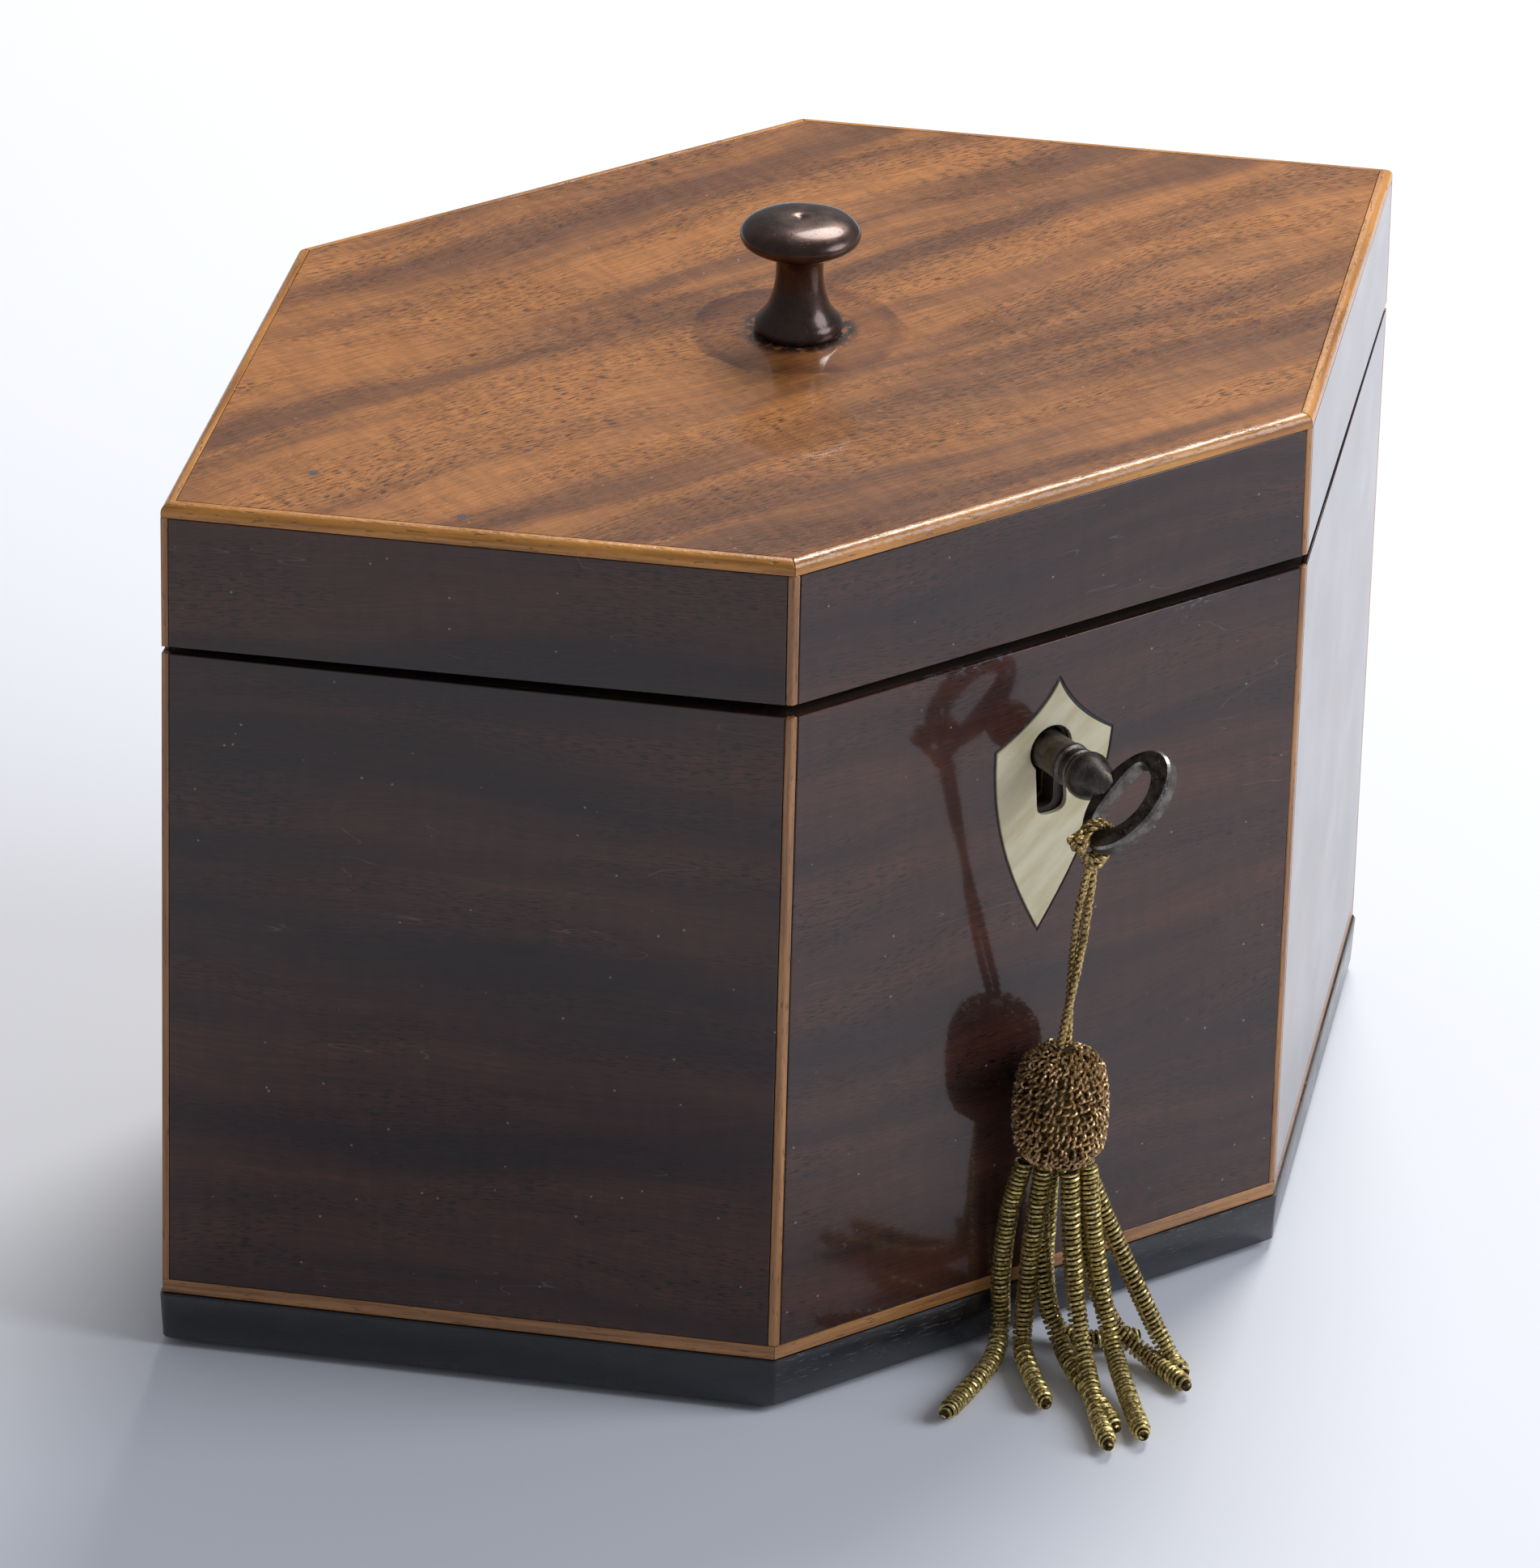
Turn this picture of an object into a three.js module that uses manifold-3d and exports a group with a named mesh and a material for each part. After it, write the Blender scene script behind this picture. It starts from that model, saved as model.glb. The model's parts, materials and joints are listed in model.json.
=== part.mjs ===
// A hexagonal mahogany tea caddy with boxwood stringing, a bone escutcheon, a turned bronze knob,
// and a steel key that carries a gilt bullion tassel.
//
// Millimetres, +Z up. The origin is the centre of the underside. The front is at -Y, +X is to the
// right as seen from the front. All six sides have the same length: the two ends are right angles
// and the four other corners are 135 degrees.

import * as THREE from 'three';
import { mergeVertices } from 'three/addons/utils/BufferGeometryUtils.js';
import Module from 'manifold-3d';

const wasm = await Module();
wasm.setup();

// ---------------------------------------------------------------- driving dimensions

const PANEL = 76.8; // length of each of the six sides
const HEIGHT = 115; // underside to the closed lid's top, without the knob
const RIM_Z = 96; // top edge of the carcase
const SEAM = 0.2; // closed gap between the carcase and the lid
const AJAR = THREE.MathUtils.degToRad(0.72); // how far the lid stands open at rest

const GLUE = 0.05; // gap between two glued flat faces
const VENEER = 0.75; // less than LINE_W, so that the sheets clear each other at the right-angled ends
const WALL = 8;
const PLINTH_H = 7.6;
const PLINTH_T = 3;
const PLINTH_ROUND = 2.2;
const BASE_LINE_H = 1.85;
const LINE_W = 0.85; // width of a corner line on each of its two faces
const BEAD_W = 1.5;
const BEAD_H = 1.7;
const LID_BOARD = 5;
const LINING = 0.8;
const LEDGE_Z = 84;
const LEDGE_H = 3;
const LEDGE_W = 2.7;
const MORTISE_GAP = 0.2; // round metal let into wood
const PAST = 1; // how far a cutting tool runs past the face that it opens

const KEY_Z = 81.3; // height of the key's axis
const KEY_ANGLE = THREE.MathUtils.degToRad(47); // turned clockwise from where it goes in
const BOLT_TRAVEL = 5; // in one full turn of the key

// ---------------------------------------------------------------- worked out from them

const HALF_FRONT = PANEL / 2;
const HALF_DEPTH = PANEL / Math.SQRT2;
const HALF_LENGTH = HALF_FRONT + HALF_DEPTH;
const FRONT = -HALF_DEPTH;
const BACK = HALF_DEPTH;
const WALL_OUT = VENEER + GLUE; // inset of a wall's outer face
const WALL_IN = WALL_OUT + WALL;
const LINE_TOP = PLINTH_H + GLUE + BASE_LINE_H;
const LID_Z = RIM_Z + SEAM;
const BEAD_Z = HEIGHT - BEAD_H;
const TOP_VENEER_Z = HEIGHT - VENEER;
const LID_BOARD_TOP = TOP_VENEER_Z - GLUE;
const LID_BOARD_Z = LID_BOARD_TOP - LID_BOARD;

// ---------------------------------------------------------------- materials

const material = (color, roughness, metalness = 0) =>
  new THREE.MeshStandardMaterial({ color, roughness, metalness });
const MAHOGANY = material(0x4a2a22, 0.3);
const FIGURED_MAHOGANY = material(0x7a4526, 0.28);
const CARCASE_WOOD = material(0x8a6238, 0.7);
const BOXWOOD = material(0xb07a42, 0.4);
const EBONISED = material(0x191b20, 0.35);
const BONE = material(0xd8d2aa, 0.4);
const FOIL = material(0x8f9296, 0.45, 0.9);
const BRASS = material(0xb08a45, 0.35, 1);
const BRONZE = material(0x3a2a22, 0.3, 0.9);
const STEEL = material(0x55504a, 0.4, 1);
const GILT = material(0x8a6b34, 0.45, 0.8);

// ---------------------------------------------------------------- solids

/** A closed three.js geometry as a manifold solid. */
function solid(geometry) {
  const bare = new THREE.BufferGeometry();
  bare.setAttribute('position', geometry.getAttribute('position'));
  if (geometry.index) bare.setIndex(geometry.index);
  const merged = mergeVertices(bare, 1e-4);
  return new wasm.Manifold(new wasm.Mesh({
    numProp: 3,
    vertProperties: new Float32Array(merged.getAttribute('position').array),
    triVerts: new Uint32Array(merged.index.array),
  }));
}

/** A manifold solid as a three.js geometry. */
function geometryOf(manifold) {
  const mesh = manifold.getMesh();
  const geometry = new THREE.BufferGeometry();
  const positions = new Float32Array(mesh.vertProperties);
  geometry.setAttribute('position', new THREE.BufferAttribute(positions, 3));
  geometry.setIndex(new THREE.BufferAttribute(new Uint32Array(mesh.triVerts), 1));
  return geometry;
}

const union = (solids) => solids.reduce((all, next) => all.add(next));
const cut = (body, tools) => tools.reduce((rest, tool) => rest.subtract(tool), body);

/** A box between two corners. */
function box(x0, x1, y0, y1, z0, z1) {
  const geometry = new THREE.BoxGeometry(x1 - x0, y1 - y0, z1 - z0);
  geometry.translate((x0 + x1) / 2, (y0 + y1) / 2, (z0 + z1) / 2);
  return solid(geometry);
}

/** A polygon in plan, as an upright prism from z0 to z1. */
function prism(points, z0, z1) {
  const shape = new THREE.Shape(points.map(([x, y]) => new THREE.Vector2(x, y)));
  const geometry = new THREE.ExtrudeGeometry(shape, { depth: z1 - z0, bevelEnabled: false });
  geometry.translate(0, 0, z0);
  return solid(geometry);
}

/** A shape drawn in X and Z as seen from the front, as a slab from y0 back to y1. */
function slab(shape, y0, y1, curveSegments = 8) {
  const depth = y1 - y0;
  const geometry = new THREE.ExtrudeGeometry(shape, { depth, bevelEnabled: false, curveSegments });
  geometry.rotateX(Math.PI / 2);
  geometry.translate(0, y1, 0);
  return solid(geometry);
}

const AXIS_TURN = {
  x: (geometry) => geometry.rotateZ(-Math.PI / 2),
  y: (geometry) => geometry,
  z: (geometry) => geometry.rotateX(Math.PI / 2),
};

/** A turned piece: [radius, distance along the axis] pairs, starting and ending on the axis or closed. */
function turned(profile, axis, segments = 24) {
  const points = profile.map(([radius, along]) => new THREE.Vector2(radius, along));
  return solid(AXIS_TURN[axis](new THREE.LatheGeometry(points, segments)));
}

/** A round rod along an axis, from one end to the other. */
function rod(radius, from, to, axis, segments = 16) {
  return turned([[0, from], [radius, from], [radius, to], [0, to]], axis, segments);
}

// ---------------------------------------------------------------- the hexagon

/** The six corners in plan, inset from the outside, from the front left corner anticlockwise. */
function hexagon(inset) {
  const front = HALF_FRONT - inset * (Math.SQRT2 - 1);
  const depth = HALF_DEPTH - inset;
  const end = HALF_LENGTH - inset * Math.SQRT2;
  return [[-front, -depth], [front, -depth], [end, 0], [front, depth], [-front, depth], [-end, 0]];
}

const SIDES = ['front', 'right_front', 'right_back', 'back', 'left_back', 'left_front'];
const CORNERS = hexagon(0).map(([x, y]) => new THREE.Vector2(x, y));

/** A point in plan, at a distance along side number side and a depth in from its outer face. */
function onSide(side, along, depth) {
  const start = CORNERS[side];
  const run = CORNERS[(side + 1) % 6].clone().sub(start).normalize();
  return [start.x + run.x * along - run.y * depth, start.y + run.y * along + run.x * depth];
}

/** A ring around the hexagon whose closed section is given as [inset, z] pairs. */
function hexRing(section) {
  const loops = section.map(([inset, z]) => hexagon(inset).map(([x, y]) => [x, y, z]));
  const positions = loops.flat(2);
  const index = [];
  const at = (loop, corner) => (loop % section.length) * 6 + (corner % 6);
  for (let loop = 0; loop < section.length; loop += 1) {
    for (let corner = 0; corner < 6; corner += 1) {
      const [a, b] = [at(loop, corner), at(loop, corner + 1)];
      const [c, d] = [at(loop + 1, corner), at(loop + 1, corner + 1)];
      index.push(a, b, d, a, d, c);
    }
  }
  const geometry = new THREE.BufferGeometry();
  geometry.setAttribute('position', new THREE.Float32BufferAttribute(positions, 3));
  geometry.setIndex(index);
  return solid(geometry);
}

/** The section of a plain square-edged ring, going up on the outside. */
const squareSection = (outer, inner, z0, z1) => [[outer, z0], [outer, z1], [inner, z1], [inner, z0]];

/** A quarter round in a ring's section, from angle a0 to a1 about [inset, z]. */
function quarter(inset, z, radius, a0, a1, steps = 4) {
  return Array.from({ length: steps + 1 }, (_, i) => {
    const angle = a0 + ((a1 - a0) * i) / steps;
    return [inset + radius * Math.cos(angle), z + radius * Math.sin(angle)];
  });
}

/** One wall between two insets, mitred at both ends. */
function mitredWall(side, outer, inner, z0, z1) {
  const next = (side + 1) % 6;
  const run = CORNERS[next].clone().sub(CORNERS[side]).normalize().multiplyScalar(GLUE / 2);
  const [a, b] = [hexagon(outer)[side], hexagon(outer)[next]];
  const [c, d] = [hexagon(inner)[next], hexagon(inner)[side]];
  const shift = ([x, y], sign) => [x + sign * run.x, y + sign * run.y];
  return prism([shift(a, 1), shift(b, -1), shift(c, -1), shift(d, 1)], z0, z1);
}

/** One sheet of side veneer, between the two corner lines. */
function veneerSheet(side, z0, z1) {
  const ends = [LINE_W + GLUE, PANEL - LINE_W - GLUE];
  const outline = [[ends[0], 0], [ends[1], 0], [ends[1], VENEER], [ends[0], VENEER]];
  return prism(outline.map(([along, depth]) => onSide(side, along, depth)), z0, z1);
}

/** One corner line: it wraps the corner and shows on both faces. */
function cornerLine(corner, z0, z1) {
  const before = (corner + 5) % 6;
  const outline = [
    onSide(corner, 0, 0), onSide(corner, LINE_W, 0), onSide(corner, LINE_W, VENEER),
    hexagon(VENEER)[corner], onSide(before, PANEL - LINE_W, VENEER), onSide(before, PANEL - LINE_W, 0),
  ];
  return prism(outline, z0, z1);
}

// ---------------------------------------------------------------- the scene graph

const caddy = new THREE.Group();

/** Adds a named part. pivot is the group's own origin when the group turns. */
function addPart(group, name, manifold, finish, pivot = [0, 0, 0]) {
  const geometry = geometryOf(manifold);
  geometry.translate(-pivot[0], -pivot[1], -pivot[2]);
  const mesh = new THREE.Mesh(geometry, finish);
  mesh.name = name;
  group.add(mesh);
}

// ---------------------------------------------------------------- lock sizes

const LOCK_HALF = 16;
const PLATE_HALF = 20;
const LOCK_Z = 69;
const PLATE_T = 1;
const CASE_T = 0.6;
const PLATE_BACK = FRONT + WALL_IN; // the face plate's inner face is flush with the wall's
const CASE_BACK = PLATE_BACK - PLATE_T - GLUE;
const CASE_FRONT = FRONT + 2.9;
const BOLT_Y = FRONT + 6.1;
const BOLT_HALF_T = 0.65;
const BOLT_Z = 89.6;
const BOLT_H = 3;
const STAPLE_X = [10.4, 13.4];
const SCREW_X = 17.9;
const SCREW_Z = 82;
const KEYWAY_R = 3; // the way for the key through the wood
const KEYWAY_SLOT = 1.5; // half its slot's width
const KEYWAY_DROP = 8.2; // from the key's axis down to the slot's foot


// The keyhole in the escutcheon: its round's centre and radius, and its slot down to slotZ.
const HOLE = { x: 0.3, z: KEY_Z + 0.1, radius: 3.1, slotX: 0.7, slotHalf: 2.2, slotZ: 72.4 };

/** A keyhole seen from the front: a round over a slot that goes down to slotZ. */
function keyhole({ x, z, radius, slotX, slotHalf, slotZ }) {
  const hole = new THREE.Path();
  const meet = Math.asin(Math.min(1, slotHalf / radius));
  hole.moveTo(slotX - slotHalf, slotZ + slotHalf * 0.7);
  hole.quadraticCurveTo(slotX - slotHalf, slotZ, slotX, slotZ);
  hole.quadraticCurveTo(slotX + slotHalf, slotZ, slotX + slotHalf, slotZ + slotHalf * 0.7);
  hole.lineTo(slotX + slotHalf, z - radius * Math.cos(meet));
  hole.absarc(x, z, radius, -Math.PI / 2 + meet, (3 * Math.PI) / 2 - meet, false);
  hole.closePath();
  return hole;
}

/** The way for the key through wood or metal from y0 to y1, as a cutting tool. */
function keyway(radius, slotHalf, slotZ, y0, y1) {
  const hole = keyhole({ x: 0, z: KEY_Z, radius, slotX: 0, slotHalf, slotZ });
  const shape = new THREE.Shape(hole.getPoints(6));
  return slab(shape, y0, y1);
}

// ---------------------------------------------------------------- hinge sizes

const HINGE_X = [['left', -23], ['right', 23]];
const HINGE_HALF = 9;
const KNUCKLE = 3; // half the middle knuckle's length
const BARREL_R = 1.5;
const RELIEF_R = 1.75;
const PIN_R = 0.6;
const PIN_HOLE_R = 0.7;
const LEAF_T = 0.9;
const LEAF_Y = BACK - 7.2;
const HINGE_Y = BACK + 0.4;
const HINGE_Z = RIM_Z + SEAM / 2;
const LEAF_SCREW_X = 5;
const LEAF_SCREW_Y = BACK - 4.5;

/** A turned piece along X, moved onto the hinge axis. */
function onHingeAxis(x, profile, segments = 16) {
  return turned(profile, 'x', segments).translate([x, HINGE_Y, HINGE_Z]);
}

/** Room for a hinge in the wood on one side of the seam: the leaf's recess and the barrel's relief. */
function hingeRecess(x, z0, z1) {
  const half = HINGE_HALF + MORTISE_GAP;
  const recess = box(x - half, x + half, LEAF_Y - MORTISE_GAP, BACK + PAST, z0, z1);
  const relief = onHingeAxis(x, [[0, -half], [RELIEF_R, -half], [RELIEF_R, half], [0, half]]);
  return [recess, relief];
}

const SCREW_TURN = { up: [0, 0, 0], down: [180, 0, 0], forward: [90, 0, 0] };
const SCREW_HEAD_R = 1.5;
const SCREW_SHANK_R = 0.75;
const SCREW_LENGTH = 5;
const SCREW_POINT = 1; // length of its pointed end
const SCREW_HOLE_GAP = 0.25;

/** A countersunk screw whose head is flush at a place and whose point goes up, down or forward. */
function screw(direction, place, margin = 0) {
  const head = SCREW_HEAD_R + margin;
  const shank = SCREW_SHANK_R + margin;
  const profile = [
    [0, -margin], [head, -margin], [shank, head - shank],
    [shank, SCREW_LENGTH - SCREW_POINT], [0, SCREW_LENGTH + margin],
  ];
  return turned(profile, 'z', 12).rotate(SCREW_TURN[direction]).translate(place);
}

/** The hole for that screw. */
const screwHole = (direction, place) => screw(direction, place, SCREW_HOLE_GAP);

// ---------------------------------------------------------------- base and carcase

addPart(caddy, 'base_board', prism(hexagon(PLINTH_T + GLUE), 0, PLINTH_H - GLUE), CARCASE_WOOD);

const plinthSection = [
  ...quarter(PLINTH_ROUND, PLINTH_ROUND, PLINTH_ROUND, 1.5 * Math.PI, Math.PI),
  [0, PLINTH_H], [PLINTH_T, PLINTH_H], [PLINTH_T, 0],
];
addPart(caddy, 'plinth', hexRing(plinthSection), EBONISED);

const WALL_Z = PLINTH_H + GLUE;

/** A pocket in the front wall, open at the back and at the rim. */
const pocket = (half, y0, z0) => box(-half - MORTISE_GAP, half + MORTISE_GAP,
  y0 - MORTISE_GAP, PLATE_BACK + PAST, z0 - MORTISE_GAP, RIM_Z + PAST);
const lockMortise = [
  pocket(LOCK_HALF, CASE_FRONT, LOCK_Z),
  pocket(PLATE_HALF, PLATE_BACK - PLATE_T, LOCK_Z),
  pocket(PLATE_HALF, CASE_FRONT, RIM_Z - PLATE_T),
  keyway(KEYWAY_R, KEYWAY_SLOT, KEY_Z - KEYWAY_DROP, FRONT, CASE_FRONT + PAST),
];
const lockScrewPlaces = [['left', -SCREW_X], ['right', SCREW_X]];
const lockScrewHoles = lockScrewPlaces.map(([, x]) => screwHole('forward', [x, PLATE_BACK, SCREW_Z]));

const lowerHingeRecess = HINGE_X.flatMap(
  ([, x]) => hingeRecess(x, RIM_Z - LEAF_T - MORTISE_GAP, RIM_Z + PAST),
);
const leafScrews = HINGE_X.flatMap(([hand, x]) => [
  [`${hand}_outer`, x + Math.sign(x) * LEAF_SCREW_X],
  [`${hand}_inner`, x - Math.sign(x) * LEAF_SCREW_X],
]);
const lowerScrewHoles = leafScrews.map(([, x]) => screwHole('down', [x, LEAF_SCREW_Y, RIM_Z]));

SIDES.forEach((name, side) => {
  let wall = mitredWall(side, WALL_OUT, WALL_IN, WALL_Z, RIM_Z);
  if (name === 'front') wall = cut(wall, [...lockMortise, ...lockScrewHoles]);
  if (name === 'back') wall = cut(wall, [...lowerHingeRecess, ...lowerScrewHoles]);
  addPart(caddy, `wall_${name}`, wall, CARCASE_WOOD);
});

// The shield: its foot is at [0, 0] and it leans a little clockwise, as it was let in by hand.
const SHIELD_FOOT = [-0.75, 57.1];
const SHIELD_LEAN = THREE.MathUtils.degToRad(3.4);
const SHIELD_H = 33.3;
const SHIELD_HALF = 8.6;
const SHIELD_HORN = 25.3;

/** The shield's outline, grown outwards by margin. */
function shield(margin) {
  const half = SHIELD_HALF + margin;
  const horn = SHIELD_HORN + margin * 0.4;
  const top = SHIELD_H + 2 * margin;
  const foot = -1.6 * margin;
  const outline = new THREE.Shape();
  outline.moveTo(0, foot);
  outline.bezierCurveTo(3.6, 6 + foot, half - 0.4, 13.5, half, horn);
  outline.quadraticCurveTo(2.3 + margin, 28.7 + margin, 0, top);
  outline.quadraticCurveTo(-2.3 - margin, 28.7 + margin, -half, horn);
  outline.bezierCurveTo(0.4 - half, 13.5, -3.6, 6 + foot, 0, foot);
  return outline;
}

const leanShield = (part) => part.rotate([0, THREE.MathUtils.radToDeg(SHIELD_LEAN), 0])
  .translate([SHIELD_FOOT[0], 0, SHIELD_FOOT[1]]);
const SHIELD_PROUD = 0.1;
const shieldPlate = leanShield(slab(shield(0), FRONT - SHIELD_PROUD, FRONT + VENEER - 0.1, 7));
const shieldKeyhole = slab(new THREE.Shape(keyhole(HOLE).getPoints(7)), FRONT - PAST, FRONT + VENEER + PAST);
addPart(caddy, 'escutcheon', shieldPlate.subtract(shieldKeyhole), BONE);

const SHIELD_GAP = 0.35; // filled with dark mastic
const shieldRecess = leanShield(slab(shield(SHIELD_GAP), FRONT - PAST, FRONT + VENEER + PAST, 7));
SIDES.forEach((name, side) => {
  let sheet = veneerSheet(side, LINE_TOP + GLUE, RIM_Z);
  if (name === 'front') sheet = sheet.subtract(shieldRecess);
  if (name === 'back') sheet = cut(sheet, lowerHingeRecess);
  addPart(caddy, `veneer_${name}`, sheet, MAHOGANY);
});

const baseLine = hexRing(squareSection(0, VENEER, PLINTH_H + GLUE, LINE_TOP));
const bodyCorners = CORNERS.map((_, corner) => cornerLine(corner, LINE_TOP - 0.5, RIM_Z));
addPart(caddy, 'body_stringing', union([baseLine, ...bodyCorners]), BOXWOOD);

// ---------------------------------------------------------------- inside the carcase

const LINING_OUT = WALL_IN + GLUE;
const lining = prism(hexagon(LINING_OUT), WALL_Z, LEDGE_Z)
  .subtract(prism(hexagon(LINING_OUT + LINING), WALL_Z + LINING, LEDGE_Z + PAST));
addPart(caddy, 'tea_lining', lining, FOIL);

const ledgeTop = LEDGE_Z + GLUE + LEDGE_H;
const ledge = hexRing(squareSection(LINING_OUT, LINING_OUT + LEDGE_W, LEDGE_Z + GLUE, ledgeTop));
addPart(caddy, 'inner_ledge', ledge, MAHOGANY);

const INNER_LID_GAP = 0.5;
const INNER_LID_T = 4;
const INNER_LID_Z = ledgeTop + 0.1;
const INNER_KNOB_Z = INNER_LID_Z + INNER_LID_T;
const innerStudHole = rod(1.2, INNER_KNOB_Z - 3, INNER_KNOB_Z + PAST, 'z', 12);
const innerLid = prism(hexagon(LINING_OUT + INNER_LID_GAP), INNER_LID_Z, INNER_KNOB_Z);
addPart(caddy, 'inner_lid', innerLid.subtract(innerStudHole), MAHOGANY);

const innerKnob = turned([
  [0, INNER_KNOB_Z - 2.5], [1, INNER_KNOB_Z - 2.5], [1, INNER_KNOB_Z + GLUE], [3.6, INNER_KNOB_Z + GLUE],
  [3.6, INNER_KNOB_Z + 0.8], [2.2, INNER_KNOB_Z + 2], [1.9, INNER_KNOB_Z + 3.6], [3, INNER_KNOB_Z + 5],
  [3.6, INNER_KNOB_Z + 6.4], [2.8, INNER_KNOB_Z + 7.8], [0, INNER_KNOB_Z + 8.4],
], 'z', 20);
addPart(caddy, 'inner_lid_knob', innerKnob, BONE);

// ---------------------------------------------------------------- lock

const SLOT_GAP = 0.6;
const STAPLE_HALF = 1.65;
const stapleSlot = box(STAPLE_X[0] - SLOT_GAP, STAPLE_X[1] + SLOT_GAP,
  BOLT_Y - STAPLE_HALF - SLOT_GAP, BOLT_Y + STAPLE_HALF + SLOT_GAP,
  RIM_Z - PLATE_T - PAST, RIM_Z + PAST);
const selvedge = box(-PLATE_HALF, PLATE_HALF, CASE_FRONT, PLATE_BACK, RIM_Z - PLATE_T, RIM_Z)
  .subtract(stapleSlot);
const facePlate = box(-PLATE_HALF, PLATE_HALF, PLATE_BACK - PLATE_T, PLATE_BACK, LOCK_Z, RIM_Z);
const DRILL_R = 1;
const drillPin = rod(DRILL_R, FRONT + 1.5, PLATE_BACK - PLATE_T / 2, 'y', 12).translate([0, 0, KEY_Z]);
addPart(caddy, 'lock_plate', cut(union([selvedge, facePlate, drillPin]), lockScrewHoles), BRASS);

const CASE_TOP = RIM_Z - PLATE_T - GLUE;
const caseInside = box(-LOCK_HALF + CASE_T, LOCK_HALF - CASE_T,
  CASE_FRONT + CASE_T, CASE_BACK + PAST, LOCK_Z + CASE_T, CASE_TOP + PAST);
const caseKeyway = keyway(KEYWAY_R - 0.2, KEYWAY_SLOT - 0.3, KEY_Z - KEYWAY_DROP + 0.5,
  CASE_FRONT - PAST, CASE_FRONT + CASE_T + 0.2);
const caseBlock = box(-LOCK_HALF, LOCK_HALF, CASE_FRONT, CASE_BACK, LOCK_Z, CASE_TOP);
addPart(caddy, 'lock_case', cut(caseBlock, [caseInside, caseKeyway]), BRASS);

lockScrewPlaces.forEach(([hand, x]) => {
  addPart(caddy, `lock_screw_${hand}`, screw('forward', [x, PLATE_BACK, SCREW_Z]), BRASS);
});

// A leaf spring bears on the bolt's back end: a shallow arch between the bolt and the selvedge.
const SPRING_T = 0.35;
const SPRING_X = [-11, -3];
const SPRING_HALF_W = 0.6;
const springFoot = BOLT_Z + BOLT_H + 0.2;
const springPeak = [(SPRING_X[0] + SPRING_X[1]) / 2, CASE_TOP + 0.6]; // the arch's control point
const springOutline = new THREE.Shape();
springOutline.moveTo(SPRING_X[0], springFoot);
springOutline.quadraticCurveTo(...springPeak, SPRING_X[1], springFoot);
springOutline.lineTo(SPRING_X[1], springFoot + SPRING_T);
springOutline.quadraticCurveTo(springPeak[0], springPeak[1] + SPRING_T, SPRING_X[0], springFoot + SPRING_T);
springOutline.closePath();
addPart(caddy, 'lock_spring', slab(springOutline, BOLT_Y - SPRING_HALF_W, BOLT_Y + SPRING_HALF_W), STEEL);

// The bolt is drawn back, then moved by the part of a turn that the key has made. The bit swings
// through the gap between its two lugs.
const BOLT_X = [-12, 9.4];
const LUG_Z = BOLT_Z - 3.3;
const LUGS = [[-12, -8.4], [3.4, 5.2]]; // the right one stops short of the staple
const boltBar = (x0, x1, z0, z1) => box(x0, x1, BOLT_Y - BOLT_HALF_T, BOLT_Y + BOLT_HALF_T, z0, z1);
const bolt = union([
  boltBar(BOLT_X[0], BOLT_X[1], BOLT_Z, BOLT_Z + BOLT_H),
  ...LUGS.map(([x0, x1]) => boltBar(x0, x1, LUG_Z, BOLT_Z + 0.5)),
]).translate([(BOLT_TRAVEL * KEY_ANGLE) / (2 * Math.PI), 0, 0]);
addPart(caddy, 'lock_bolt', bolt, BRASS);

// ---------------------------------------------------------------- hinges

/** The leaf of a hinge with its knuckles. */
function hingeLeaf(x, z0, z1, knuckles, gaps) {
  const reach = ([a, b], radius) => onHingeAxis(x, [[0, a], [radius, a], [radius, b], [0, b]]);
  const plate = box(x - HINGE_HALF, x + HINGE_HALF, LEAF_Y, HINGE_Y, z0, z1);
  const gapped = cut(plate, gaps.map((gap) => reach(gap, RELIEF_R)));
  const leaf = union([gapped, ...knuckles.map((knuckle) => reach(knuckle, BARREL_R))]);
  return leaf.subtract(reach([-HINGE_HALF - PAST, HINGE_HALF + PAST], PIN_HOLE_R));
}

const KNUCKLE_GAP = 0.1; // on each side of the plane where two knuckles meet
const SIDE_KNUCKLES = [[-HINGE_HALF, -KNUCKLE - KNUCKLE_GAP], [KNUCKLE + KNUCKLE_GAP, HINGE_HALF]];
const MIDDLE_KNUCKLE = [[-KNUCKLE + KNUCKLE_GAP, KNUCKLE - KNUCKLE_GAP]];
const MIDDLE_GAP = [[-KNUCKLE - KNUCKLE_GAP, KNUCKLE + KNUCKLE_GAP]];
const SIDE_GAPS = [
  [-HINGE_HALF - PAST, -KNUCKLE + KNUCKLE_GAP],
  [KNUCKLE - KNUCKLE_GAP, HINGE_HALF + PAST],
];

HINGE_X.forEach(([hand, x]) => {
  const leaf = hingeLeaf(x, RIM_Z - LEAF_T, RIM_Z, SIDE_KNUCKLES, MIDDLE_GAP);
  addPart(caddy, `hinge_lower_leaf_${hand}`, cut(leaf, lowerScrewHoles), BRASS);
  const pin = onHingeAxis(x, [[0, -HINGE_HALF], [PIN_R, -HINGE_HALF], [PIN_R, HINGE_HALF], [0, HINGE_HALF]]);
  addPart(caddy, `hinge_pin_${hand}`, pin, STEEL);
});
leafScrews.forEach(([place, x]) => {
  addPart(caddy, `hinge_lower_screw_${place}`, screw('down', [x, LEAF_SCREW_Y, RIM_Z]), BRASS);
});

// ---------------------------------------------------------------- lid

const lid = new THREE.Group();
const LID_PIVOT = [0, HINGE_Y, HINGE_Z];
lid.position.set(...LID_PIVOT);
lid.rotation.x = -AJAR; // the front edge is up
caddy.add(lid);
const addLidPart = (name, manifold, finish) => addPart(lid, name, manifold, finish, LID_PIVOT);

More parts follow.
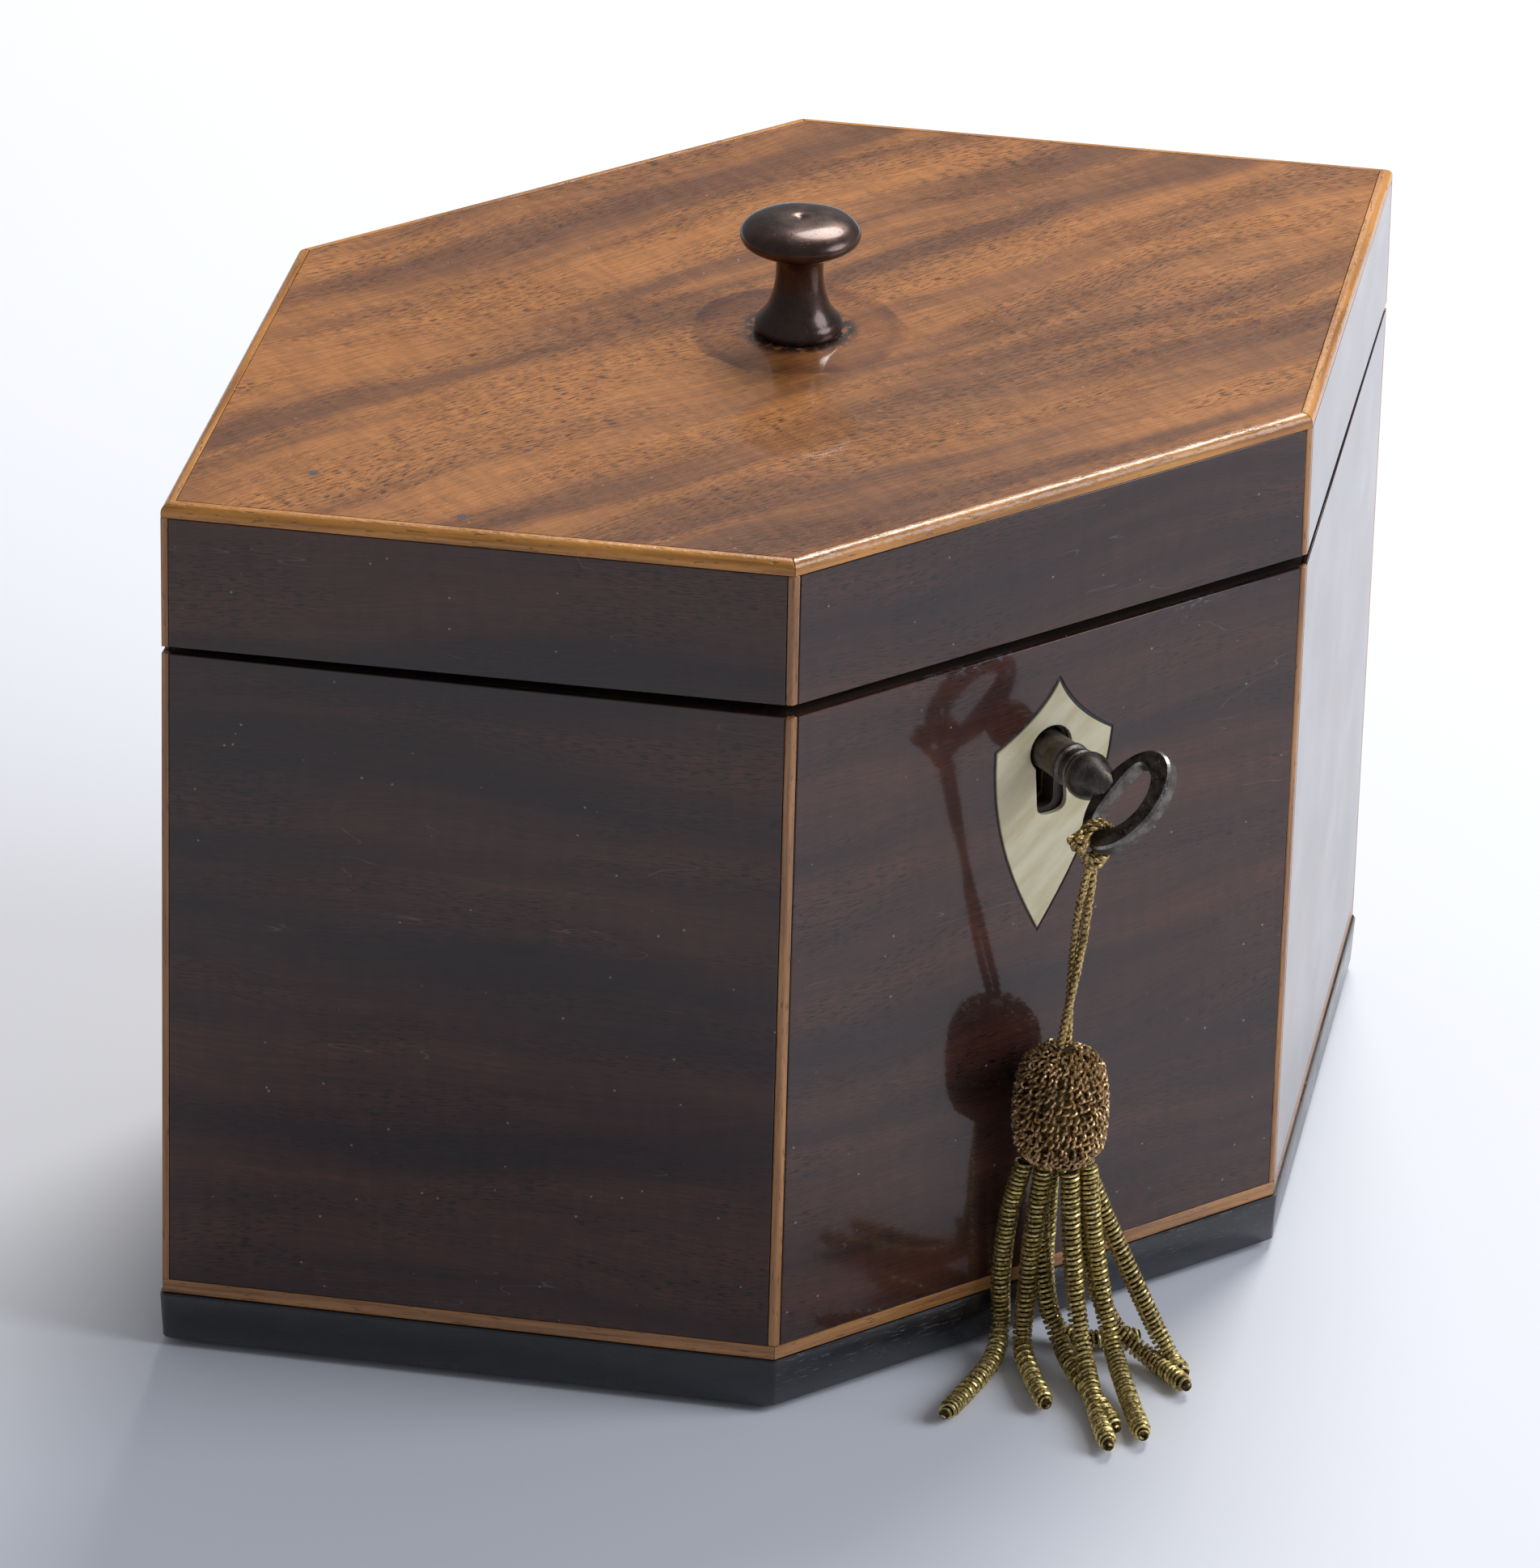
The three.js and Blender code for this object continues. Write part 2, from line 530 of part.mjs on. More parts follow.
const upperHingeRecess = HINGE_X.flatMap(
  ([, x]) => hingeRecess(x, LID_Z - PAST, LID_Z + LEAF_T + MORTISE_GAP),
);
const upperScrewHoles = leafScrews.map(([, x]) => screwHole('up', [x, LEAF_SCREW_Y, LID_Z]));

const STRIKER_X = [-9, 16.5];
const STRIKER_SCREWS = [['left', -6], ['right', 4]];
const STRIKER_T = 1;
const strikerMortise = box(STRIKER_X[0] - MORTISE_GAP, STRIKER_X[1] + MORTISE_GAP,
  CASE_FRONT - MORTISE_GAP, PLATE_BACK + MORTISE_GAP, LID_Z - PAST, LID_Z + STRIKER_T + MORTISE_GAP);
const strikerScrewHoles = STRIKER_SCREWS.map(([, x]) => screwHole('up', [x, BOLT_Y, LID_Z]));

const lidFrame = hexRing(squareSection(WALL_OUT, WALL_IN, LID_Z, LID_BOARD_Z - GLUE));
addLidPart('lid_frame', cut(lidFrame, [
  ...upperHingeRecess, ...upperScrewHoles, strikerMortise, ...strikerScrewHoles,
]), CARCASE_WOOD);

const STUD_R = 1.4;
const STUD_DEPTH = 4.5;
const studHole = rod(STUD_R + MORTISE_GAP, HEIGHT - STUD_DEPTH - MORTISE_GAP, HEIGHT + PAST, 'z', 12);
const lidBoard = prism(hexagon(WALL_OUT), LID_BOARD_Z, LID_BOARD_TOP);
addLidPart('lid_board', lidBoard.subtract(studHole), CARCASE_WOOD);
addLidPart('lid_top_veneer',
  prism(hexagon(BEAD_W + GLUE), TOP_VENEER_Z, HEIGHT).subtract(studHole), FIGURED_MAHOGANY);

SIDES.forEach((name, side) => {
  let sheet = veneerSheet(side, LID_Z, BEAD_Z - GLUE);
  if (name === 'back') sheet = cut(sheet, upperHingeRecess);
  addLidPart(`lid_veneer_${name}`, sheet, MAHOGANY);
});

// The edge bead stands on the corner lines. It is rounded on its outer top edge, and rebated
// over the lid board's edge.
const BEAD_ROUND = 1.1;
const beadSection = [
  [0, BEAD_Z], ...quarter(BEAD_ROUND, HEIGHT - BEAD_ROUND, BEAD_ROUND, Math.PI, Math.PI / 2),
  [BEAD_W, HEIGHT], [BEAD_W, TOP_VENEER_Z], [VENEER, TOP_VENEER_Z], [VENEER, BEAD_Z],
];
const lidCorners = CORNERS.map((_, corner) => cornerLine(corner, LID_Z, BEAD_Z + 0.3));
addLidPart('lid_stringing', union([hexRing(beadSection), ...lidCorners]), BOXWOOD);

// [radius, height above the lid] from the stud's end up over the mushroom head to its dimple
const KNOB_PROFILE = [
  [0, -STUD_DEPTH], [STUD_R, -STUD_DEPTH], [STUD_R, GLUE], [5.2, GLUE], [5.4, 0.9], [5.2, 1.7], [4.5, 2.5],
  [3.7, 3.9], [3.2, 5.8], [2.95, 7.8], [3, 9.5], [3.5, 10.6], [5.1, 11.3], [6.9, 12], [7.45, 12.9],
  [7.1, 13.9], [5.6, 14.8], [3.4, 15.3], [0.9, 15.4], [0, 15.1],
];
const knob = turned(KNOB_PROFILE.map(([radius, z]) => [radius, z + HEIGHT]), 'z', 32);
addLidPart('knob', knob, BRONZE);

// The striker's staple hangs from the lid, and the bolt's tongue passes through its eye.
const STAPLE_Z = 86.6;
const EYE_Z = [87.8, 93.3];
const EYE_HALF = 0.95;
const strikerPlate = box(STRIKER_X[0], STRIKER_X[1], CASE_FRONT, PLATE_BACK, LID_Z, LID_Z + STRIKER_T);
const stapleBlock = box(...STAPLE_X, BOLT_Y - STAPLE_HALF, BOLT_Y + STAPLE_HALF,
  STAPLE_Z, LID_Z + STRIKER_T / 2);
const staple = stapleBlock.subtract(
  box(STAPLE_X[0] - PAST, STAPLE_X[1] + PAST, BOLT_Y - EYE_HALF, BOLT_Y + EYE_HALF, ...EYE_Z),
);
addLidPart('striker', cut(strikerPlate.add(staple), strikerScrewHoles), BRASS);
STRIKER_SCREWS.forEach(([hand, x]) => {
  addLidPart(`striker_screw_${hand}`, screw('up', [x, BOLT_Y, LID_Z]), BRASS);
});

HINGE_X.forEach(([hand, x]) => {
  const leaf = hingeLeaf(x, LID_Z, LID_Z + LEAF_T, MIDDLE_KNUCKLE, SIDE_GAPS);
  addLidPart(`hinge_upper_leaf_${hand}`, cut(leaf, upperScrewHoles), BRASS);
});
leafScrews.forEach(([place, x]) => {
  addLidPart(`hinge_upper_screw_${place}`, screw('up', [x, LEAF_SCREW_Y, LID_Z]), BRASS);
});

// ---------------------------------------------------------------- key

// Distances along the key are measured out from the caddy's front face, so inside it is negative.
// The key is made as it goes in, with its bit down, then turned.
const BARREL_END = -(WALL_IN - PLATE_T - 0.35);
const BORE_R = 1.35;
const BORE_END = 0;
const BOW_OUT = 16.4; // to the middle of the bow
const BOW_LONG = 5.05; // half the bow's length along the key
const BOW_WIDE = 7.2; // half its width
const BOW_T = 2.2;
const BOW_HOLE = 4.9; // half the width of the D-shaped hole in the bow
const BOW_HOLE_NEAR = 2.8; // from the bow's middle to the hole's flat side
const BOW_HOLE_FAR = 2.5; // and to its round side
const BIT_R = 7.2;
const BIT_T = 1.6;
const BIT_ALONG = [-7.6, -4];

const barrel = turned([
  [0, BORE_END], [BORE_R, BORE_END], [BORE_R, BARREL_END], [2.5, BARREL_END], [2.5, 3.9], [2.7, 4.2],
  [2.7, 4.8], [2.3, 5.1], [2.3, 5.5], [2.6, 5.8], [2.6, 6.3], [2.4, 6.7], [2.85, 7.1], [3, 7.8],
  [3, 8.6], [2.75, 9.4], [2, 10.2], [1.4, 11.9], [0, 11.9],
].map(([radius, out]) => [radius, -out]).reverse(), 'y', 20);

const bowOutline = new THREE.Shape();
bowOutline.absellipse(BOW_OUT, 0, BOW_LONG, BOW_WIDE, 0, 2 * Math.PI, false, 0);
const bowHole = new THREE.Path();
const near = BOW_OUT - BOW_HOLE_NEAR;
const far = BOW_OUT + BOW_HOLE_FAR;
bowHole.moveTo(near, 0);
bowHole.bezierCurveTo(near, 3.4, near + 0.2, BOW_HOLE, BOW_OUT - 1, BOW_HOLE);
bowHole.bezierCurveTo(BOW_OUT + 0.9, BOW_HOLE, far, 2.6, far, 0);
bowHole.bezierCurveTo(far, -2.6, BOW_OUT + 0.9, -BOW_HOLE, BOW_OUT - 1, -BOW_HOLE);
bowHole.bezierCurveTo(near + 0.2, -BOW_HOLE, near, -3.4, near, 0);
bowOutline.holes.push(bowHole);
const bowGeometry = new THREE.ExtrudeGeometry(bowOutline, {
  depth: BOW_T, bevelEnabled: false, curveSegments: 12,
});
bowGeometry.translate(0, 0, -BOW_T / 2);
bowGeometry.rotateY(Math.PI / 2); // the outline's X points down now
bowGeometry.rotateX(-Math.PI / 2); // and out towards the front
const bow = solid(bowGeometry);

const BIT_ROOT = 2; // inside the barrel's wall
const bit = box(-BIT_T / 2, BIT_T / 2, -BIT_ALONG[1], -BIT_ALONG[0], -BIT_R, -BIT_ROOT);

const key = new THREE.Group();
key.position.set(0, FRONT, KEY_Z);
key.rotation.y = KEY_ANGLE;
caddy.add(key);
addPart(key, 'key', union([barrel, bow, bit]), STEEL);

// ---------------------------------------------------------------- tassel

// The loop goes round the lower end of the bow's rim, which is at the tie.
const BOW_RIM = (BOW_WIDE + BOW_HOLE) / 2;
const TIE_IN = 0.4; // the tie is this much nearer to the caddy than the bow's middle
const TIE = new THREE.Vector3(
  -BOW_RIM * Math.sin(KEY_ANGLE), FRONT - BOW_OUT + TIE_IN, KEY_Z - BOW_RIM * Math.cos(KEY_ANGLE),
);
const LOOP_R = 2.35;
const LOOP_CORD_R = 0.6;
const loopSection = Array.from({ length: 9 }, (_, i) => {
  const angle = (i / 8) * 2 * Math.PI;
  return [LOOP_R + LOOP_CORD_R * Math.cos(angle), LOOP_CORD_R * Math.sin(angle)];
});
addPart(caddy, 'tassel_loop', turned(loopSection, 'y', 20).translate([TIE.x, TIE.y, TIE.z]), GILT);

/** A round bar along a smooth curve through points. */
function bar(points, radius, steps, sides = 8) {
  const curve = new THREE.CatmullRomCurve3(points.map((p) => new THREE.Vector3(...p)));
  const ring = Array.from({ length: sides }, (_, i) => {
    const angle = (i / sides) * 2 * Math.PI;
    return new THREE.Vector2(radius * Math.cos(angle), radius * Math.sin(angle));
  });
  const section = new THREE.Shape(ring);
  return solid(new THREE.ExtrudeGeometry(section, { steps, extrudePath: curve, bevelEnabled: false }));
}

// The doubled cord, from under the loop to the top of the tassel's head.
const CORD_ROUTE = [
  [-4.2, -69.3, 74], [-4.1, -68.8, 71.9], [-3.9, -68.3, 69.8], [-3.8, -67.7, 67.7], [-3.6, -67.2, 65.6],
  [-3.4, -66.6, 63.5], [-3.2, -66.1, 61.3], [-3, -65.5, 59.2], [-2.8, -65, 57.1], [-2.6, -64.4, 55],
  [-2.4, -63.9, 52.9], [-2.2, -63.3, 50.8], [-1.9, -62.7, 48.6], [-1.6, -62.1, 46.4], [-1.4, -61.6, 44.2],
];
const CORD_R = 1;
addPart(caddy, 'tassel_cord', bar(CORD_ROUTE, CORD_R, 20), GILT);

const HEAD = [-1.3, -61.3]; // the head's axis in plan
const headProfile = [ // [radius, height]
  [0, 28.9], [4.2, 28.9], [5.4, 30.2], [5.9, 32.4], [5.9, 35.6], [5.7, 38.8], [5, 41.4], [3.6, 43],
  [1.6, 43.6], [0, 43.7],
];
addPart(caddy, 'tassel_head', turned(headProfile, 'z', 20).translate([...HEAD, 0]), GILT);

// Coiled strands fall from under the head to the table, bend there and lie on it.
const STRAND_R = 1.3;
const STRANDS = [
  [[-4.4, -58.6, 27.6], [-5.4, -57.2, 20], [-5.7, -56.4, 11], [-5.8, -56.8, 3.6],
    [-9.6, -60.4, 1.6], [-15.6, -64.2, 1.6], [-22.3, -67.9, 1.6]],
  [[-2.8, -60.6, 27.6], [-3.6, -59.9, 18], [-4, -59.4, 8],
    [-4.9, -60.3, 2.3], [-7.7, -66.2, 1.6], [-10.3, -72.8, 1.6]],
  [[-0.9, -63.2, 27.6], [-0.9, -64.2, 18], [-0.8, -65.4, 10],
    [-1.8, -68.8, 4.2], [-5.4, -76.3, 1.6], [-9.7, -84.9, 1.6]],
  [[1.6, -63.6, 27.6], [1.7, -64.6, 21], [2.5, -65.8, 12],
    [2.3, -68.9, 4.8], [-0.4, -76, 1.8], [-4.7, -85.3, 1.6]],
  [[2, -61.6, 27.6], [4.3, -64.6, 19], [6.2, -67.6, 12],
    [8.3, -70.2, 5.2], [9, -72.9, 1.8], [8.6, -75.9, 1.6]],
  [[0.6, -59.8, 27.6], [2.6, -61.8, 17], [3.4, -63.9, 10],
    [5.1, -66.3, 4.4], [7.3, -70.3, 1.65], [7, -78.6, 1.6]],
  [[-1.6, -58.8, 27.6], [-2.3, -59.4, 18], [-1.8, -60.6, 9],
    [-1.2, -62.9, 3.4], [-2.6, -68.4, 1.65], [-6.4, -82, 1.6]],
  [[-0.1, -58.2, 27.6], [0.3, -57.4, 18], [0.5, -57.2, 9],
    [1, -59, 2.8], [3.4, -62.6, 1.6], [9.6, -65.2, 1.6]],
];
const fringeCore = rod(3.9, 26.4, 28.5, 'z').translate([...HEAD, 0]);
const strands = STRANDS.map((route) => bar(route, STRAND_R, 14));
addPart(caddy, 'tassel_fringe', union([fringeCore, ...strands]), GILT);

export default caddy;
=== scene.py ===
# The looks of a hexagonal mahogany tea caddy with its key and bullion tassel.
#
# Pieces are made in millimetres, in the frame with +Z up and the front at -Y. Lid pieces are made
# with the lid shut and key pieces with the bit down, and both are then turned to their rest places.

import json
import math
import random

import bmesh
import bpy
from mathutils import Matrix, Quaternion, Vector, noise


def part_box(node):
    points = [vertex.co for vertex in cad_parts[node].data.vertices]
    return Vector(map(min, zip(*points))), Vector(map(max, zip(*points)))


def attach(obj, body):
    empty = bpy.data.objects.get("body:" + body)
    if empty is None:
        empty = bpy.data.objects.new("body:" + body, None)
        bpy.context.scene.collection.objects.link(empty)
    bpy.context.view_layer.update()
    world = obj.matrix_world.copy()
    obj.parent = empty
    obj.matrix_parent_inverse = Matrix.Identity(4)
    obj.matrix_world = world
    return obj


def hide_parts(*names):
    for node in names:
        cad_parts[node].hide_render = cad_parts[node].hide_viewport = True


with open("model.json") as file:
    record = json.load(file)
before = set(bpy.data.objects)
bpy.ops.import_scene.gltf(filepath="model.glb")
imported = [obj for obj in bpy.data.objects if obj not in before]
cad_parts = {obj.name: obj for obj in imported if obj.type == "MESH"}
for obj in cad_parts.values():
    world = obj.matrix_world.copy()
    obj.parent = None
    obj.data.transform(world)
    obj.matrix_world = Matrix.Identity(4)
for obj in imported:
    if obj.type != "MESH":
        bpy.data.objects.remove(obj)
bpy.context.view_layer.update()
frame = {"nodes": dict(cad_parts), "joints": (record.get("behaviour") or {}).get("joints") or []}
MM = 0.001

# ---- camera

AIM = Vector((-5.2, -3.64, 55.71)) * MM
AZIMUTH, ELEVATION, ROLL = (math.radians(a) for a in (-35.53, 27.455, 1.572))
DISTANCE = 1371.2 * MM
LENS = 251.1

back = Vector((math.sin(AZIMUTH) * math.cos(ELEVATION), -math.cos(AZIMUTH) * math.cos(ELEVATION),
               math.sin(ELEVATION)))
camera = bpy.data.objects.new("camera", bpy.data.cameras.new("camera"))
camera.data.lens = LENS
camera.data.sensor_width = 36
camera.location = AIM + back * DISTANCE
camera.rotation_mode = "QUATERNION"
camera.rotation_quaternion = (-back).to_track_quat("-Z", "Y") @ Quaternion((0, 0, 1), ROLL)
camera.data.clip_start, camera.data.clip_end = 0.1, 20
bpy.context.scene.collection.objects.link(camera)
bpy.context.scene.camera = camera
bpy.context.scene.view_settings.view_transform = "Standard"

# ---- dimensions in millimetres


def span(node):
    """A CAD node's lowest and highest corners in millimetres."""
    low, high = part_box(node)
    return low / MM, high / MM


JOINTS = {joint["name"]: joint for joint in frame["joints"]}
HALF_DEPTH = span("plinth")[1].y
PANEL = HALF_DEPTH * math.sqrt(2)
HALF_FRONT = PANEL / 2
HALF_LENGTH = HALF_FRONT + HALF_DEPTH
FRONT, BACK = -HALF_DEPTH, HALF_DEPTH
PLINTH_H = span("plinth")[1].z
RIM_Z = span("veneer_front")[1].z
LINE_TOP = span("veneer_front")[0].z
SEAM = 0.2
LID_Z = RIM_Z + SEAM
HEIGHT = 115
VENEER = 0.75
GLUE = 0.05
LINE_W = 0.85
BEAD_W, BEAD_H, BEAD_ROUND = 1.5, 1.7, 1.1
BEAD_Z = HEIGHT - BEAD_H
PLINTH_ROUND, PLINTH_T = 1.3, 3
LINING_OUT = 8.85
LEDGE_W = 2.7

LID_PIVOT = Vector(JOINTS["lid_hinge"]["pos_m"]) / MM
AJAR = -math.radians(JOINTS["lid_hinge"]["range_deg"][0])
KEY_PIVOT = Vector(JOINTS["key_turn"]["pos_m"]) / MM
KEY_ANGLE = -math.radians(JOINTS["key_turn"]["range_deg"][0])
KEY_Z = KEY_PIVOT.z
TIE = Vector(JOINTS["tassel_swing"]["pos_m"]) / MM

AS_MADE = Matrix.Identity(4)
ON_LID = (Matrix.Translation(LID_PIVOT) @ Matrix.Rotation(-AJAR, 4, "X")
          @ Matrix.Translation(-LID_PIVOT))
ON_KEY = Matrix.Translation(KEY_PIVOT) @ Matrix.Rotation(KEY_ANGLE, 4, "Y")

SIDES = ("front", "right_front", "right_back", "back", "left_back", "left_front")


def hexagon(inset):
    """The six corners in plan, inset from the outside, from the front left corner anticlockwise."""
    half = HALF_FRONT - inset * (math.sqrt(2) - 1)
    depth = HALF_DEPTH - inset
    end = HALF_LENGTH - inset * math.sqrt(2)
    return [Vector(p) for p in ((-half, -depth), (half, -depth), (end, 0),
                                (half, depth), (-half, depth), (-end, 0))]


CORNERS = hexagon(0)


def run_of(side):
    """The direction along a side in plan."""
    return (CORNERS[(side + 1) % 6] - CORNERS[side]).normalized()


def on_side(side, along, depth):
    """A point in plan, at a distance along a side and a depth in from its outer face."""
    run = run_of(side)
    return CORNERS[side] + run * along + Vector((-run.y, run.x)) * depth


# ---- material nodes


class Finish:
    """A material being built: each call adds a node and returns its output socket."""

    def __init__(self, name):
        self.material = bpy.data.materials.new(name)
        self.material.use_nodes = True
        self.tree = self.material.node_tree
        self.shader = self.tree.nodes["Principled BSDF"]

    def add(self, kind, inputs=(), output=0, **settings):
        node = self.tree.nodes.new(kind)
        for name, value in settings.items():
            setattr(node, name, value)
        for key, value in dict(inputs).items():
            if isinstance(value, bpy.types.NodeSocket):
                self.tree.links.new(value, node.inputs[key])
            else:
                node.inputs[key].default_value = value
        return node.outputs[output]

    def grain(self):
        """Millimetres along the grain, across it and into the piece."""
        return self.add("ShaderNodeAttribute", attribute_name="grain", output="Vector")

    def place(self):
        """The object's own coordinates in millimetres, for pieces without a grain of their own."""
        return self.stretch(self.add("ShaderNodeTexCoord", output="Object"), (1 / MM,) * 3)

    def stretch(self, vector, scale, turn=0.0):
        return self.add("ShaderNodeMapping", {"Vector": vector, "Scale": scale, "Rotation": (0, 0, turn)})

    def streaks(self, vector, scale, detail=3.0, roughness=0.5, distortion=0.0):
        """Noise with its own number of waves in a millimetre for each direction."""
        return self.noise(self.stretch(vector, scale), 1.0, detail, roughness, distortion)

    def noise(self, vector, scale, detail=3.0, roughness=0.5, distortion=0.0):
        return self.add("ShaderNodeTexNoise", {
            "Vector": vector, "Scale": scale, "Detail": detail,
            "Roughness": roughness, "Distortion": distortion})

    def cells(self, vector, scale):
        return self.add("ShaderNodeTexVoronoi", {"Vector": vector, "Scale": scale}, output="Distance")

    def math(self, operation, a, b=0.0, c=0.0):
        return self.add("ShaderNodeMath", {0: a, 1: b, 2: c}, operation=operation)

    def times(self, a, b):
        return self.math("MULTIPLY", a, b)

    def plus(self, a, b):
        return self.math("ADD", a, b)

    def minus(self, a, b):
        return self.math("SUBTRACT", a, b)

    def length(self, a, b):
        return self.math("SQRT", self.plus(self.times(a, a), self.times(b, b)))

    def step(self, value, low, high, to_low=0.0, to_high=1.0):
        """Goes smoothly from to_low at low to to_high at high."""
        return self.add("ShaderNodeMapRange", {
            "Value": value, "From Min": low, "From Max": high, "To Min": to_low, "To Max": to_high},
            interpolation_type="SMOOTHSTEP")

    def split(self, vector):
        return self.add("ShaderNodeSeparateXYZ", {"Vector": vector}).node.outputs

    def mix(self, share, a, b, blend="MIX"):
        sockets = {0: share, 6: a, 7: b}
        return self.add("ShaderNodeMix", sockets, output=2, data_type="RGBA", blend_type=blend)

    def tint(self, color, share, strength, towards):
        """Mixes a colour in where share is 1, at the given strength."""
        return self.mix(self.times(share, strength), color, towards)

    def shade(self, color, share, low, high):
        """Multiplies by one colour where share is 0 and by another where it is 1."""
        return self.mix(1.0, color, self.mix(share, low, high), "MULTIPLY")

    def spot(self, vector, x, y, inner, outer):
        """1 within inner millimetres of a point in the grain's first two directions, 0 past outer."""
        parts = self.split(vector)
        away = self.length(self.minus(parts[0], x), self.minus(parts[1], y))
        return self.step(away, inner, outer, 1.0, 0.0)

    def bump(self, height, depth_mm):
        return self.add("ShaderNodeBump", {
            "Height": height, "Strength": 1.0, "Distance": depth_mm * MM}, output="Normal")

    def done(self, color, roughness, normal=None, coat_normal=None, **fixed):
        """Links what varies, and sets what is the same all over on the shader's own sockets."""
        for name, value in (("Base Color", color), ("Roughness", roughness),
                            ("Normal", normal), ("Coat Normal", coat_normal)):
            if isinstance(value, bpy.types.NodeSocket):
                self.tree.links.new(value, self.shader.inputs[name])
            elif value is not None:
                self.shader.inputs[name].default_value = value
        for name, value in fixed.items():
            self.shader.inputs[name.replace("_", " ")].default_value = value
        return self.material


def rgb(red, green, blue):
    return (red, green, blue, 1.0)


def scaled(color, factor):
    return rgb(*(factor * part for part in color[:3]))


# ---- materials


def mahogany(name, dark, light, band_mm, contrast, marks=None):
    """Polished mahogany: ribbon bands along the grain, pores in dashes, dust and fine scratches."""
    m = Finish(name)
    grain = m.grain()
    wave = m.streaks(grain, (0.012, 0.03, 0.03), 2)
    bent = m.add("ShaderNodeVectorMath", {
        0: grain, 1: m.add("ShaderNodeCombineXYZ", {"Y": m.step(wave, 0.2, 0.8, -4.0, 4.0)})},
        operation="ADD")
    bands = m.streaks(bent, (0.008, 1 / band_mm, 0.05), 2, 0.5, 0.1)
    broad = m.streaks(bent, (0.012, 0.05, 0.02), 2)
    figure = m.plus(m.times(bands, 0.75), m.times(broad, 0.25))
    color = m.mix(m.step(figure, 0.5 - contrast, 0.5 + contrast), dark, light)
    fibre = m.streaks(bent, (0.09, 3.2, 1.0), 4, 0.65)
    color = m.shade(color, m.step(fibre, 0.3, 0.7), rgb(0.72, 0.70, 0.68), rgb(1.16, 1.16, 1.14))
    ripple = m.streaks(bent, (0.55, 0.16, 0.2), 2)
    color = m.shade(color, m.step(ripple, 0.35, 0.65), rgb(0.9, 0.89, 0.88), rgb(1.08, 1.08, 1.08))
    dashes = m.streaks(bent, (0.62, 5.2, 2.0), 1, 0.4)
    where = m.step(m.streaks(bent, (0.03, 0.14, 0.1), 2), 0.42, 0.6)
    pores = m.times(m.step(dashes, 0.55, 0.63), m.math("MULTIPLY_ADD", where, 0.75, 0.25))
    color = m.tint(color, pores, 0.85, scaled(dark, 0.35))
    dust = m.step(m.cells(grain, 0.42), 0.08, 0.045)
    chosen = m.step(m.noise(grain, 0.21, 1), 0.5, 0.56)
    color = m.tint(color, m.times(dust, chosen), 0.4, rgb(0.55, 0.5, 0.46))
    path = m.noise(m.stretch(grain, (0.02, 0.2, 0.1), 0.6), 1.0, 2)
    line = m.step(m.math("ABSOLUTE", m.minus(path, 0.5)), 0.0016, 0.0006)
    scratched = m.times(line, m.step(m.noise(grain, 0.05, 2), 0.54, 0.6))
    color = m.tint(color, scratched, 0.3, rgb(0.26, 0.2, 0.18))
    if marks:
        color = marks(m, grain, color)
    smear = m.noise(grain, 0.06, 3, 0.6)
    height = m.minus(m.times(fibre, 0.12), pores)
    polish = m.plus(m.noise(grain, 0.11, 2), m.times(height, 0.05))
    return m.done(color, m.step(smear, 0.3, 0.7, 0.3, 0.46), m.bump(height, 0.035), m.bump(polish, 0.03),
                  Coat_Weight=0.85, Coat_Roughness=0.07, Coat_IOR=1.5, Specular_IOR_Level=0.12)


RING_R = 12.9
DENTS = ((-72.6, -2.4), (-64.3, -22.1))


def top_marks(m, grain, color):
    """The worn ring round the knob, grime and painted shade at its foot, two dents near the left end, dark
    flecks.
    """
    parts = m.split(grain)
    wobble = m.step(m.noise(grain, 0.12, 2), 0.3, 0.7, -0.5, 0.5)
    away = m.plus(wobble, m.length(parts[0], parts[1]))
    inside = m.step(away, RING_R - 1.4, RING_R, 1.0, 0.0)
    line = m.times(m.step(away, RING_R - 2.6, RING_R - 0.3), m.step(away, RING_R, RING_R + 0.6, 1, 0))
    uneven = m.step(m.noise(grain, 0.08, 2), 0.35, 0.6, 0.25, 1.0)
    color = m.tint(color, inside, 0.36, rgb(0.13, 0.034, 0.014))
    color = m.tint(color, m.times(line, uneven), 0.62, rgb(0.06, 0.014, 0.01))
    # Near-black ring at the knob's foot: partly grime, partly painted shade where the knob shadows the top.
    grime_and_shade = m.times(m.step(away, 6.0, 8.0, 1.0, 0.0), m.step(m.noise(grain, 0.8, 3), 0.36, 0.5))
    color = m.tint(color, grime_and_shade, 0.9, rgb(0.012, 0.012, 0.014))
    for x, y in DENTS:
        color = m.tint(color, m.spot(grain, x, y, 0.35, 0.95), 0.8, rgb(0.07, 0.08, 0.1))
    knots = m.step(m.cells(m.stretch(grain, (0.35, 0.8, 1.0)), 0.11), 0.05, 0.025)
    return m.tint(color, knots, 0.6, rgb(0.035, 0.014, 0.01))


def rim_chips(m, grain, color):
    """Pale bruises where the polish is chipped along the rim below the lid."""
    parts = m.split(grain)
    near = m.step(m.math("ABSOLUTE", m.minus(parts[1], RIM_Z - 0.35)), 0.25, 0.9, 1.0, 0.0)
    broken = m.step(m.noise(m.stretch(grain, (1.0, 1.6, 1.0)), 0.9, 4, 0.6), 0.54, 0.6)
    patch = m.step(m.streaks(grain, (0.06, 0.0, 0.1), 1), 0.5, 0.58)
    bruised = m.times(m.times(near, broken), patch)
    return m.tint(color, bruised, 0.5, rgb(0.15, 0.16, 0.19))


